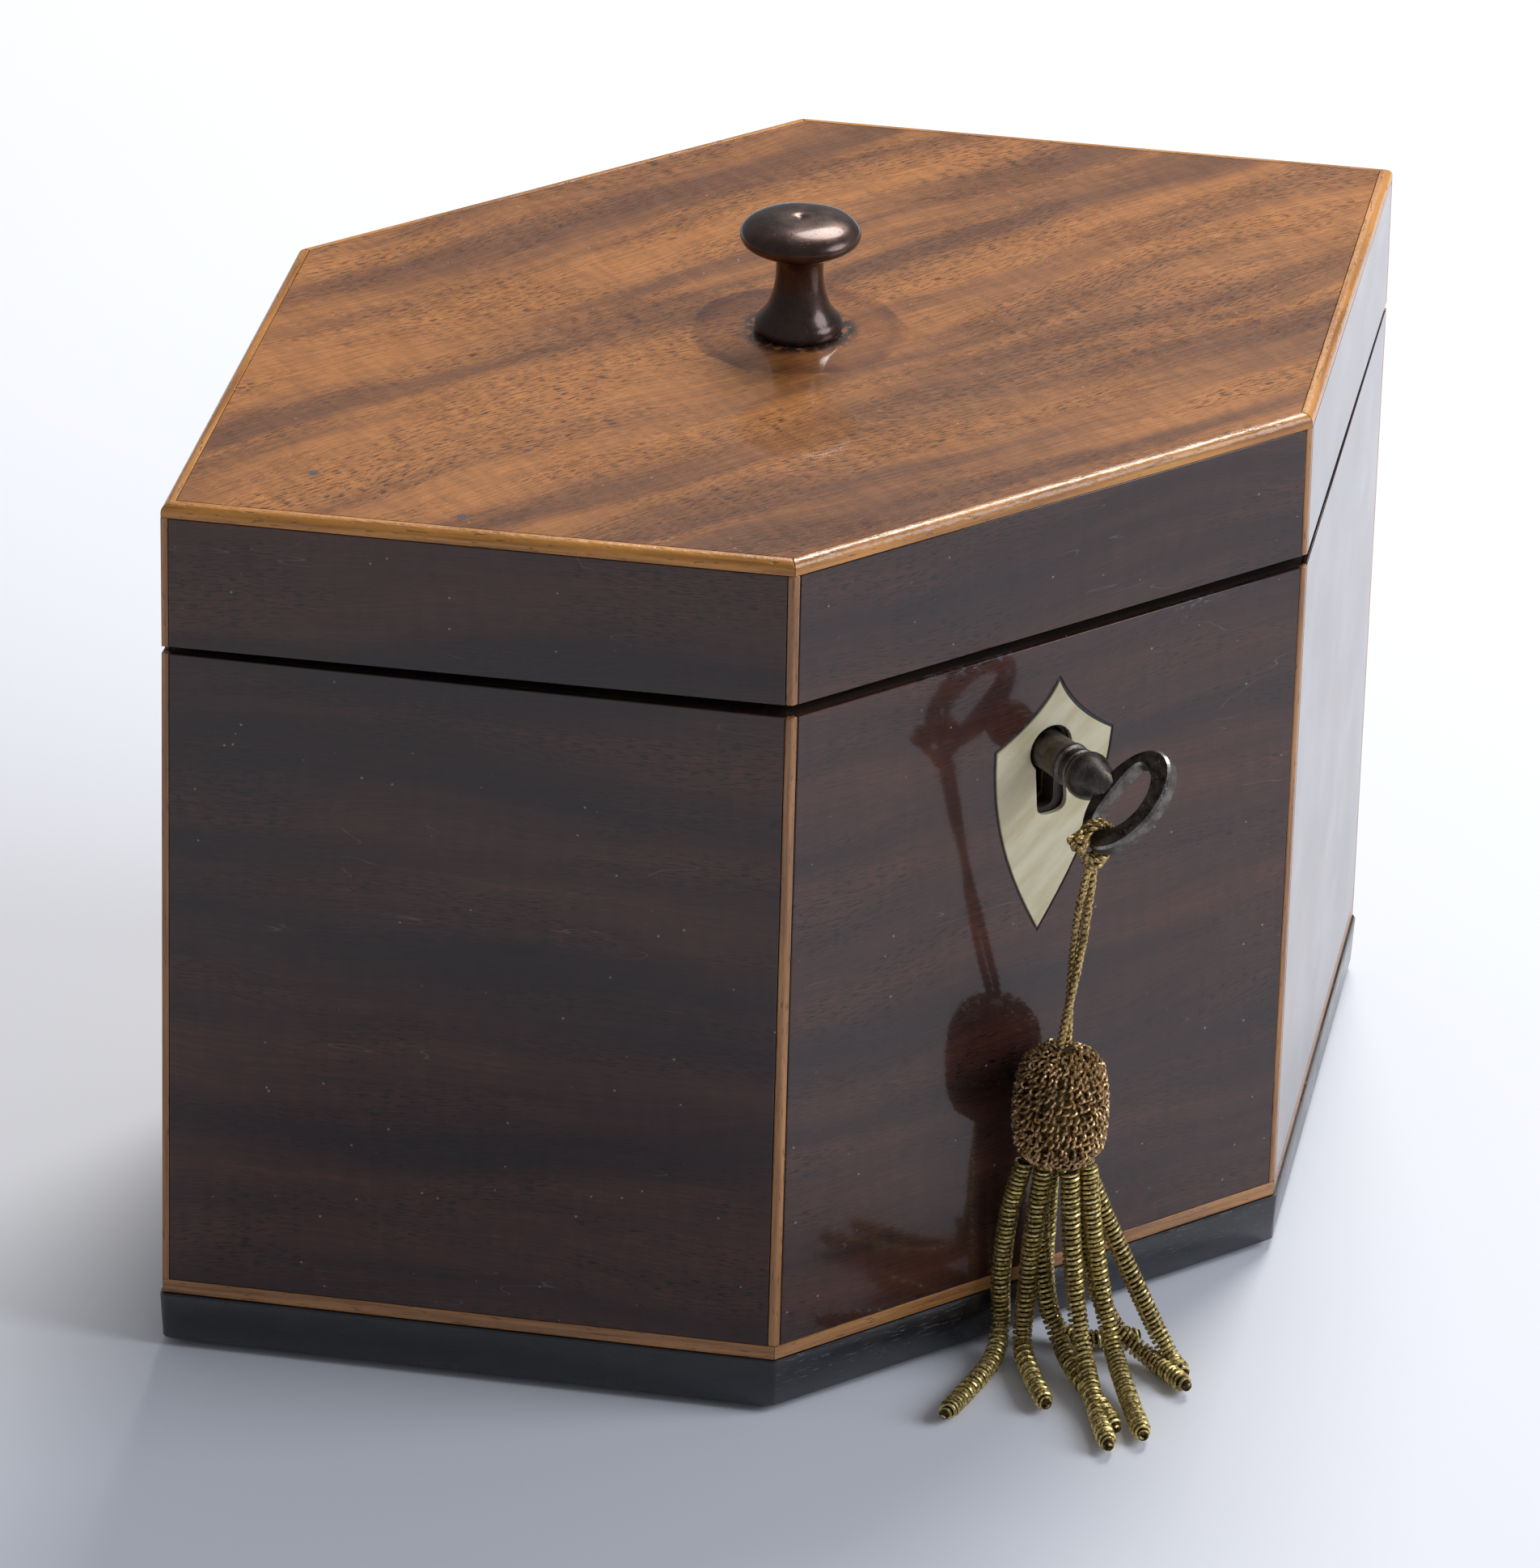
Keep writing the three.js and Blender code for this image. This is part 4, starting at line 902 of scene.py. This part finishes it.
def lining():
    """Foil pressed over the inner walls and floor: an outer skin, turned over at the rim."""
    floor_z, rim_z = PLINTH_H + 0.12, span("tea_lining")[1].z
    thin = 0.35
    rings, per_side = 20, 24

    def loops(inset, z_from, z_to):
        corners = hexagon(inset)
        plan = [corners[k].lerp(corners[(k + 1) % 6], j / per_side)
                for k in range(6) for j in range(per_side)]
        return [[(*p, z_from + (z_to - z_from) * i / rings) for p in plan] for i in range(rings + 1)]
    outside = loops(LINING_OUT + 0.1, floor_z, rim_z - 0.1)
    inside = loops(LINING_OUT + thin + 0.15, rim_z, floor_z + thin)
    floor_rings = [[(x * share, y * share, z) for x, y, z in inside[-1]] for share in (0.75, 0.5, 0.25)]
    skin = loft("foil_lining", [*outside, *inside, *floor_rings])
    crumple(skin, 0.22, 0.16, lambda p: p.z < floor_z + 0.1)
    finish(skin, "caddy", FOIL, replaces=["tea_lining"], sharp=60)


def ledge():
    low, high = span("inner_ledge")
    section = [(LINING_OUT + 0.02, low.z), (LINING_OUT + 0.02, high.z), (LINING_OUT + LEDGE_W, high.z),
               (LINING_OUT + LEDGE_W, low.z)]
    for side, name in enumerate(SIDES):
        strip = mitred_length(f"ledge_{name}", side, section)
        finish(strip, "caddy", INNER_WOOD, replaces=["inner_ledge"] if side == 0 else [],
               grain=side_grain(side, 60 * side), edge=0.25)


def inner_lid():
    low, high = span("inner_lid")
    gap = HALF_DEPTH - high.y
    board = prism("inner_lid_board", hexagon(gap), low.z, high.z)
    cut(board, turned("hole", [(1.25, high.z - 3), (1.25, high.z + 1)], "z", 24))
    finish(board, "inner_lid", INNER_WOOD, replaces=["inner_lid"], grain=plan_grain, edge=0.5,
           sharp=40)
    stem = [(1.0, -2.5), (1.0, 0.06), (3.5, 0.06)]
    button = [(3.62, 0.5), (3.3, 1.1), (2.3, 1.9), (1.9, 2.8), (1.95, 3.7), (2.6, 4.6), (3.4, 5.6),
              (3.6, 6.5), (3.3, 7.4), (2.4, 8.1), (1.1, 8.38), (0.2, 8.4)]
    turning = [*stem, *smooth_profile(button)]
    piece = turned("inner_knob_turning", [(r, z + high.z) for r, z in turning], "z", 64)
    finish(piece, "inner_lid", BONE, replaces=["inner_lid_knob"], grain=upright_grain(0), sharp=45)


# ---- lock, hinges and screws

SCREW_HEAD_R = 1.5
SCREW_WAYS = {"up": Matrix.Identity(4), "down": Matrix.Rotation(math.pi, 4, "X"),
              "forward": Matrix.Rotation(math.pi / 2, 4, "X")}


def screw(node, way, spot, slot_turn):
    """A countersunk screw, its head flush at a spot, with a slot across it and a thread."""
    body = "lid" if node.startswith(("hinge_upper", "striker")) else "caddy"
    profile = [(SCREW_HEAD_R - 0.06, 0.0), (SCREW_HEAD_R, 0.08), (0.62, 0.9)]
    z, pitch = 1.3, 0.55
    while z < 4.2:
        profile += [(0.55, z), (0.73, z + 0.12), (0.73, z + 0.2), (0.55, z + 0.32)]
        z += pitch
    profile += [(0.5, 4.4), (0.05, 4.95)]
    piece = turned(f"{node}_turning", profile, "z", 32)
    slot = box("slot", -2, 2, -0.17, 0.17, -1, 0.45)
    slot.data.transform(Matrix.Rotation(slot_turn, 4, "Z"))
    cut(piece, slot)
    piece.data.transform(Matrix.Translation(spot) @ SCREW_WAYS[way])
    finish(piece, body, BRASS, ON_LID if body == "lid" else AS_MADE, [node], sharp=30)


LEAF_SCREW_X, LEAF_SCREW_Y = 5, BACK - 4.5
LOCK_SCREW_X, LOCK_SCREW_Z = 17.9, 82
STRIKER_SCREWS = {"left": -6, "right": 4}
PLATE_BACK = FRONT + LINING_OUT - GLUE
BOLT_Y = FRONT + 6.1


def screws():
    turn = random.Random(4)
    for hand, x in HINGE_X.items():
        outward = math.copysign(LEAF_SCREW_X, x)
        for place, offset in (("outer", outward), ("inner", -outward)):
            for leaf, way, z in (("lower", "down", RIM_Z), ("upper", "up", LID_Z)):
                screw(f"hinge_{leaf}_screw_{hand}_{place}", way, Vector((x + offset, LEAF_SCREW_Y, z)),
                      turn.uniform(0, math.pi))
    for hand, sign in (("left", -1), ("right", 1)):
        screw(f"lock_screw_{hand}", "forward", Vector((sign * LOCK_SCREW_X, PLATE_BACK, LOCK_SCREW_Z)),
              turn.uniform(0, math.pi))
    for hand, x in STRIKER_SCREWS.items():
        screw(f"striker_screw_{hand}", "up", Vector((x, BOLT_Y, LID_Z)), turn.uniform(0, math.pi))


LEAF_T = 0.9
BARREL_R, PIN_R, PIN_HOLE_R, RELIEF_R = 1.5, 0.6, 0.7, 1.75
KNUCKLE, KNUCKLE_GAP = 3, 0.1


def hinge_rod(x, a, b, radius):
    return turned("rod", [(radius, x + a), (radius, x + b)], "x", 48, (0, LID_PIVOT.y, LID_PIVOT.z))


def hinge_leaf(node, body, x, z0, z1, knuckles, gaps, way):
    leaf = box(f"{node}_plate", x - HINGE_HALF, x + HINGE_HALF, LEAF_Y, LID_PIVOT.y, z0, z1)
    cut(leaf, *(hinge_rod(x, a, b, RELIEF_R) for a, b in gaps))
    join(leaf, *(hinge_rod(x, a, b, BARREL_R) for a, b in knuckles))
    cut(leaf, hinge_rod(x, -HINGE_HALF - 1, HINGE_HALF + 1, PIN_HOLE_R))
    sink_r = SCREW_HEAD_R + 0.1
    for offset in (-LEAF_SCREW_X, LEAF_SCREW_X):
        spot = (x + offset, LEAF_SCREW_Y, RIM_Z if way == "down" else LID_Z)
        sink = turned("sink", [(sink_r, -0.3), (sink_r, 0.05), (0.8, 0.95), (0.8, 2)], "z", 32)
        sink.data.transform(Matrix.Translation(spot) @ SCREW_WAYS[way])
        cut(leaf, sink)
    finish(leaf, body, BRASS, ON_LID if body == "lid" else AS_MADE, [node], edge=0.08, sharp=30,
           segments=2)


def hinges():
    inner, outer, past = KNUCKLE - KNUCKLE_GAP, KNUCKLE + KNUCKLE_GAP, HINGE_HALF + 1
    for hand, x in HINGE_X.items():
        hinge_leaf(f"hinge_lower_leaf_{hand}", "caddy", x, RIM_Z - LEAF_T, RIM_Z,
                   ((-HINGE_HALF, -outer), (outer, HINGE_HALF)), ((-outer, outer),), "down")
        hinge_leaf(f"hinge_upper_leaf_{hand}", "lid", x, LID_Z, LID_Z + LEAF_T,
                   ((-inner, inner),), ((-past, -inner), (inner, past)), "up")
        left, right, dome, tip_r = x - HINGE_HALF, x + HINGE_HALF, 0.12, PIN_R * 0.6
        profile = [(tip_r, left - dome), (PIN_R, left), (PIN_R, right), (tip_r, right + dome)]
        pin = turned(f"hinge_pin_{hand}_rod", profile, "x", 32, (0, LID_PIVOT.y, LID_PIVOT.z))
        finish(pin, "caddy", STEEL, replaces=[f"hinge_pin_{hand}"], sharp=30)


KEPT_WOOD = {"base_board": 0, "lid_board": 0, "lid_frame": 0, "wall_front": "keyway", "wall_back": 0,
             "wall_right_front": -45, "wall_left_back": -45, "wall_right_back": 45, "wall_left_front": 45}
KEPT_METAL = {"lock_plate": BRASS, "lock_case": BRASS, "lock_bolt": BRASS, "striker": BRASS,
              "lock_spring": STEEL}


def kept_nodes():
    """CAD parts whose shape is right get worn edges and their material."""
    wooden = [(node, PLAIN_WOOD[turn], 0.2) for node, turn in KEPT_WOOD.items()]
    metallic = [(node, material, 0.12) for node, material in KEPT_METAL.items()]
    for node, material, edge in [*wooden, *metallic]:
        obj = frame["nodes"][node]
        obj.data.materials.clear()
        obj.data.materials.append(material)
        bevel(obj, edge, 2, 40, MM)


# ---- key

BARREL = [(1.35, 0.0), (1.35, -7.45), (2.3, -7.45), (2.5, -7.25), (2.5, 3.6), (2.55, 3.95), (2.72, 4.2),
          (2.75, 4.5), (2.7, 4.8), (2.35, 5.05), (2.28, 5.3), (2.35, 5.55), (2.62, 5.8), (2.66, 6.05),
          (2.6, 6.3), (2.38, 6.5), (2.4, 6.75), (2.8, 7.1), (2.98, 7.6), (3.02, 8.2), (2.95, 8.7),
          (2.75, 9.3), (2.45, 10.0), (2.15, 10.9), (1.85, 12.1), (1.3, 13.1), (0.5, 13.4)]
BOW_OUT, BOW_LONG, BOW_WIDE, BOW_T = 16.4, 5.05, 7.2, 2.0
HOLE_NEAR, HOLE_FAR, HOLE_WIDE = 2.6, 2.4, 4.6
BIT_R, BIT_T, BIT_OUT = 7.2, 1.6, (4.0, 7.6)


def bow_hole(steps):
    """The D-shaped hole: points as (out along the key, across it), anticlockwise from the far side."""
    far, near = Vector((HOLE_FAR, 0)), Vector((-HOLE_NEAR, 0))
    top = Vector((-1, HOLE_WIDE))
    upper = bezier(far, Vector((HOLE_FAR, 2.6)), Vector((0.9, HOLE_WIDE)), top, steps)
    upper += bezier(top, Vector((-HOLE_NEAR + 0.2, HOLE_WIDE)), Vector((-HOLE_NEAR, 3.4)), near, steps)
    lower = [Vector((p.x, -p.y)) for p in reversed([*upper[1:], near])]
    return [*upper, *lower]


def bow():
    """A flat ring with bevelled edges, lofted round its hole."""
    inner = bow_hole(16)
    loops = []
    half, slope = BOW_T / 2, 0.3
    for p in inner:
        angle = math.atan2(p.y / BOW_WIDE, p.x / BOW_LONG)
        outer = Vector((BOW_LONG * math.cos(angle), BOW_WIDE * math.sin(angle)))
        across = (outer - p).normalized()
        section = [(p, half - slope), (p + across * slope, half), (outer - across * slope, half),
                   (outer, half - slope), (outer, slope - half), (outer - across * slope, -half),
                   (p + across * slope, -half), (p, slope - half)]
        loops.append([(x, -(BOW_OUT + q.x), q.y) for q, x in section])
    ring = loft("key_bow", loops, closed=True)
    ring.data.materials.append(STEEL)
    ring.data.materials.append(WORN_STEEL)
    for polygon in ring.data.polygons:
        if 0.25 < abs(polygon.normal.x) < 0.95:  # the bevelled edges
            polygon.material_index = 1
    return ring


def key():
    shaft = turned("key_forging", [(r, -out) for r, out in BARREL], "y", 64)
    shaft.data.materials.append(STEEL)
    shaft.data.materials.append(WORN_STEEL)
    bit = box("bit", -BIT_T / 2, BIT_T / 2, BIT_OUT[0], BIT_OUT[1], -BIT_R, -2)
    ward = box("ward", -2, 2, BIT_OUT[0] + 1.4, BIT_OUT[0] + 2.1, -BIT_R - 1, -BIT_R + 2.2)
    cut(bit, ward)
    join(shaft, bow(), bit)
    finish(shaft, "key", STEEL, ON_KEY, ["key"], edge=0.09, sharp=32, segments=2)


# ---- tassel

CORD_ROUTE = [
    (-4.2, -69.3, 74), (-4.1, -68.8, 71.9), (-3.9, -68.3, 69.8), (-3.8, -67.7, 67.7), (-3.6, -67.2, 65.6),
    (-3.4, -66.6, 63.5), (-3.2, -66.1, 61.3), (-3, -65.5, 59.2), (-2.8, -65, 57.1), (-2.6, -64.4, 55),
    (-2.4, -63.9, 52.9), (-2.2, -63.3, 50.8), (-1.9, -62.7, 48.6), (-1.6, -62.1, 46.4), (-1.4, -61.6, 44.2),
]
CORD_APART = 0.56  # half the distance between the two cords
PLY_R = 0.31
PLY_PITCH = 2.1
LOOP_R = 2.35
KNOTS = (((-2.7, -0.2, 0.5), 0.95, 7), ((0.1, 0.3, -2.7), 0.9, 6))  # offset from the tie, size, turns
HEAD = Vector((-1.3, -61.3, 0))
HEAD_PROFILE = [(1.2, 43.5), (2.6, 43.1), (3.9, 42.3), (4.9, 41.0), (5.4, 39.2), (5.6, 36.8), (5.62, 34.4),
                (5.5, 32.2), (5.1, 30.4), (4.2, 29.2), (3.0, 28.6)]
THREAD_R, THREAD_APART = 0.21, 0.84


def two_ply(line, ply_r, start=0.0):
    """The two twisted plies of a cord, as tube jobs."""
    return [(helix(line, ply_r * 0.86, PLY_PITCH, 10, start + half), ply_r, 6) for half in (0, math.pi)]


def hanging_cords():
    """Two cords side by side, turning slowly about each other on their way down."""
    line = curve_through(CORD_ROUTE, 5)
    frames = frames_along(line)
    twist = math.radians(200)
    cords = []
    for number, sign in (("one", 1), ("two", -1)):
        path = []
        for i, (point, (_, u, v)) in enumerate(zip(line, frames)):
            angle = 0.4 + twist * i / (len(line) - 1)
            path.append(point + (u * math.cos(angle) + v * math.sin(angle)) * CORD_APART * sign)
        cords.append((f"tassel_cord_{number}", path))
    return cords


def ring_line(centre, radius, u, v, turns, points, drift=Vector()):
    return [centre + (u * math.cos(a) + v * math.sin(a)) * radius + drift * (i / points)
            for i, a in enumerate(2 * math.pi * turns * k / points for k in range(points + 1))]


def loop_and_knots():
    """The cord's loop round the bow, a lump of knot beside it and a smaller knot below."""
    x, y, z = Vector((1, 0, 0)), Vector((0, 1, 0)), Vector((0, 0, 1))
    jobs = []
    for shift in (-0.55, 0.5):
        jobs += two_ply(ring_line(TIE + y * shift, LOOP_R, x, z, 1.0, 60, y * 0.05), PLY_R * 0.9)
    rng = random.Random(11)

    def any_vector(reach):
        return Vector([rng.uniform(-reach, reach) for _ in range(3)])
    for offset, size, count in KNOTS:
        for _ in range(count):
            u = any_vector(1).normalized()
            v = u.cross(any_vector(1)).normalized()
            spot = TIE + Vector(offset) + any_vector(0.4)
            jobs += two_ply(ring_line(spot, size * rng.uniform(0.7, 1.1), u, v, 0.8, 24), PLY_R * 0.85)
    piece = tubes("tassel_loop_cord", jobs)
    finish(piece, "tassel_loop", CORD_GILT, replaces=["tassel_loop"], sharp=60)
    return piece


def head_at(share):
    """Radius, height and outward slope of the head's surface, share of the way down."""
    at = share * (len(HEAD_PROFILE) - 1)
    i = min(int(at), len(HEAD_PROFILE) - 2)
    (r0, z0), (r1, z1) = HEAD_PROFILE[i:i + 2]
    t = at - i
    return r0 + (r1 - r0) * t, z0 + (z1 - z0) * t, Vector((z0 - z1, r0 - r1)).normalized()


def tassel_head():
    """Looped threads in close rows over a barrel."""
    profile = [(r * 0.9, z) for r, z in smooth_profile(HEAD_PROFILE, 3)]
    core = turned("tassel_head_core", profile, "z", 48, HEAD)
    finish(core, "tassel", CORE_GILT, sharp=60)
    rng = random.Random(7)
    jobs = []
    rows = 20
    for row in range(rows):
        share = (row + 0.4) / rows
        radius, z, slope = head_at(share)
        count = max(8, int(2 * math.pi * radius / THREAD_APART))
        for k in range(count):
            angle = 2 * math.pi * (k + 0.5 * (row % 2) + rng.uniform(-0.3, 0.3)) / count
            x, y = math.cos(angle), math.sin(angle)
            out = Vector((x * slope.x, y * slope.x, slope.y * -1))
            around = Vector((-y, x, 0))
            down = out.cross(around)
            spot = HEAD + Vector((x * radius, y * radius, z + rng.uniform(-0.28, 0.28)))
            lean = rng.uniform(-0.55, 0.85)
            along = (down * math.cos(lean) + around * math.sin(lean)).normalized()
            wide = out.cross(along).normalized()
            line = []
            for i in range(9):
                t = i / 8
                bend = math.pi * t  # the thread rises, crosses and dips again
                line.append(spot - out * 0.45 + out * (0.72 * math.sin(bend)) + along * (0.62 * (t * 2 - 1))
                            + wide * 0.16 * math.sin(2 * bend))
            jobs.append((line, THREAD_R, 5))
    loops = tubes("tassel_head_loops", jobs)
    finish(loops, "tassel", HEAD_GILT, replaces=["tassel_head"], sharp=60)
    return [core, loops]


STRANDS = [
    [(-4.4, -58.6, 27.6), (-5.4, -57.2, 20), (-5.7, -56.4, 11), (-5.8, -56.8, 3.6),
     (-9.6, -60.4, 1.6), (-15.6, -64.2, 1.6), (-22.3, -67.9, 1.6)],
    [(-2.8, -60.6, 27.6), (-3.6, -59.9, 18), (-4, -59.4, 8),
     (-4.9, -60.3, 2.3), (-7.7, -66.2, 1.6), (-10.3, -72.8, 1.6)],
    [(-0.9, -63.2, 27.6), (-0.9, -64.2, 18), (-0.8, -65.4, 10),
     (-1.8, -68.8, 4.2), (-5.4, -76.3, 1.6), (-9.7, -84.9, 1.6)],
    [(1.6, -63.6, 27.6), (1.7, -64.6, 21), (2.5, -65.8, 12),
     (2.3, -68.9, 4.8), (-0.4, -76, 1.8), (-4.7, -85.3, 1.6)],
    [(2, -61.6, 27.6), (4.3, -64.6, 19), (6.2, -67.6, 12),
     (8.3, -70.2, 5.2), (9, -72.9, 1.8), (8.6, -75.9, 1.6)],
    [(0.6, -59.8, 27.6), (2.6, -61.8, 17), (3.4, -63.9, 10),
     (5.1, -66.3, 4.4), (7.3, -70.3, 1.65), (7, -78.6, 1.6)],
    [(-1.6, -58.8, 27.6), (-2.3, -59.4, 18), (-1.8, -60.6, 9),
     (-1.2, -62.9, 3.4), (-2.6, -68.4, 1.65), (-6.4, -82, 1.6)],
    [(-0.1, -58.2, 27.6), (0.3, -57.4, 18), (0.5, -57.2, 9),
     (1, -59, 2.8), (3.4, -62.6, 1.6), (9.6, -65.2, 1.6)],
]
WIRE_R, CORE_R = 0.22, 0.66
COIL_R = 1.08
COIL_PITCH = 0.68


def fringe():
    """Eight strands of coiled wire over a thread core, each closed at its tip."""
    rng = random.Random(3)
    wires, cores = [], []
    for route in STRANDS:
        line = curve_through(route, 9)

        def reach(share):
            return COIL_R * (1 - 0.75 * max(0.0, (share - 0.955) / 0.045) ** 2)
        coil = helix(line, reach, COIL_PITCH * rng.uniform(0.96, 1.06), 11, rng.uniform(0, 6))
        wires.append((coil, WIRE_R, 5))
        cores.append((line[::3] + [line[-1]], CORE_R, 8))
    cap = [(HEAD + Vector((0, 0, 29.5 - 0.45 * i)), 3.4 - 0.12 * i * i) for i in range(5)]
    band = turned("fringe_band", [(r, p.z) for p, r in cap], "z", 40, HEAD)
    finish(band, "tassel", CORE_GILT, sharp=60)
    coils = tubes("fringe_coils", wires)
    finish(coils, "tassel", WIRE_GILT, replaces=["tassel_fringe"], sharp=60)
    threads = tubes("fringe_threads", cores)
    finish(threads, "tassel", CORE_GILT, sharp=60)
    return [band, coils, threads]


def tassel():
    knots = loop_and_knots()
    below = tassel_head() + fringe()
    for number, (name, path) in enumerate(hanging_cords()):
        cord = tubes(name, two_ply(path, PLY_R, number))
        finish(cord, "tassel", CORD_GILT, replaces=["tassel_cord"] if number == 0 else [],
               sharp=60)


tassel()
veneers()
corner_lines()
base_line()
edge_bead()
plinth()
lid_top()
escutcheon()
knob()
lining()
ledge()
inner_lid()
screws()
hinges()
kept_nodes()
key()

# ---- floor and light


def floor():
    half = 3.0
    sheet = new_object("floor", [(-half, -half, 0), (half, -half, 0), (half, half, 0), (-half, half, 0)],
                       [(0, 1, 2, 3)])
    m = Finish("floor")
    tone = m.noise(m.add("ShaderNodeTexCoord", output="Object"), 3.0, 2)
    color = m.mix(m.step(tone, 0.3, 0.7), rgb(0.79, 0.80, 0.85), rgb(0.83, 0.84, 0.89))
    sheet.data.materials.append(m.done(color, m.step(tone, 0.3, 0.7, 0.8, 0.9)))


def soft_light(name, place, size, power, color):
    data = bpy.data.lights.new(name, "AREA")
    data.shape, data.size, data.energy, data.color = "DISK", size, power, color
    lamp = bpy.data.objects.new(name, data)
    lamp.location = place
    lamp.rotation_mode = "QUATERNION"
    lamp.rotation_quaternion = (Vector((0, 0, 0.06)) - Vector(place)).to_track_quat("-Z", "Y")
    bpy.context.scene.collection.objects.link(lamp)


def room(strength, color):
    world = bpy.data.worlds.new("room")
    world.use_nodes = True
    shade = world.node_tree.nodes["Background"]
    shade.inputs["Color"].default_value = rgb(*color)
    shade.inputs["Strength"].default_value = strength
    bpy.context.scene.world = world


floor()
room(0.24, (0.90, 0.93, 1.0))
soft_light("key_light", (0.62, 0.42, 0.98), 0.6, 12.5, (1.0, 0.985, 0.96))
soft_light("side_light", (0.85, -0.85, 0.75), 0.9, 12, (0.84, 0.9, 1.0))
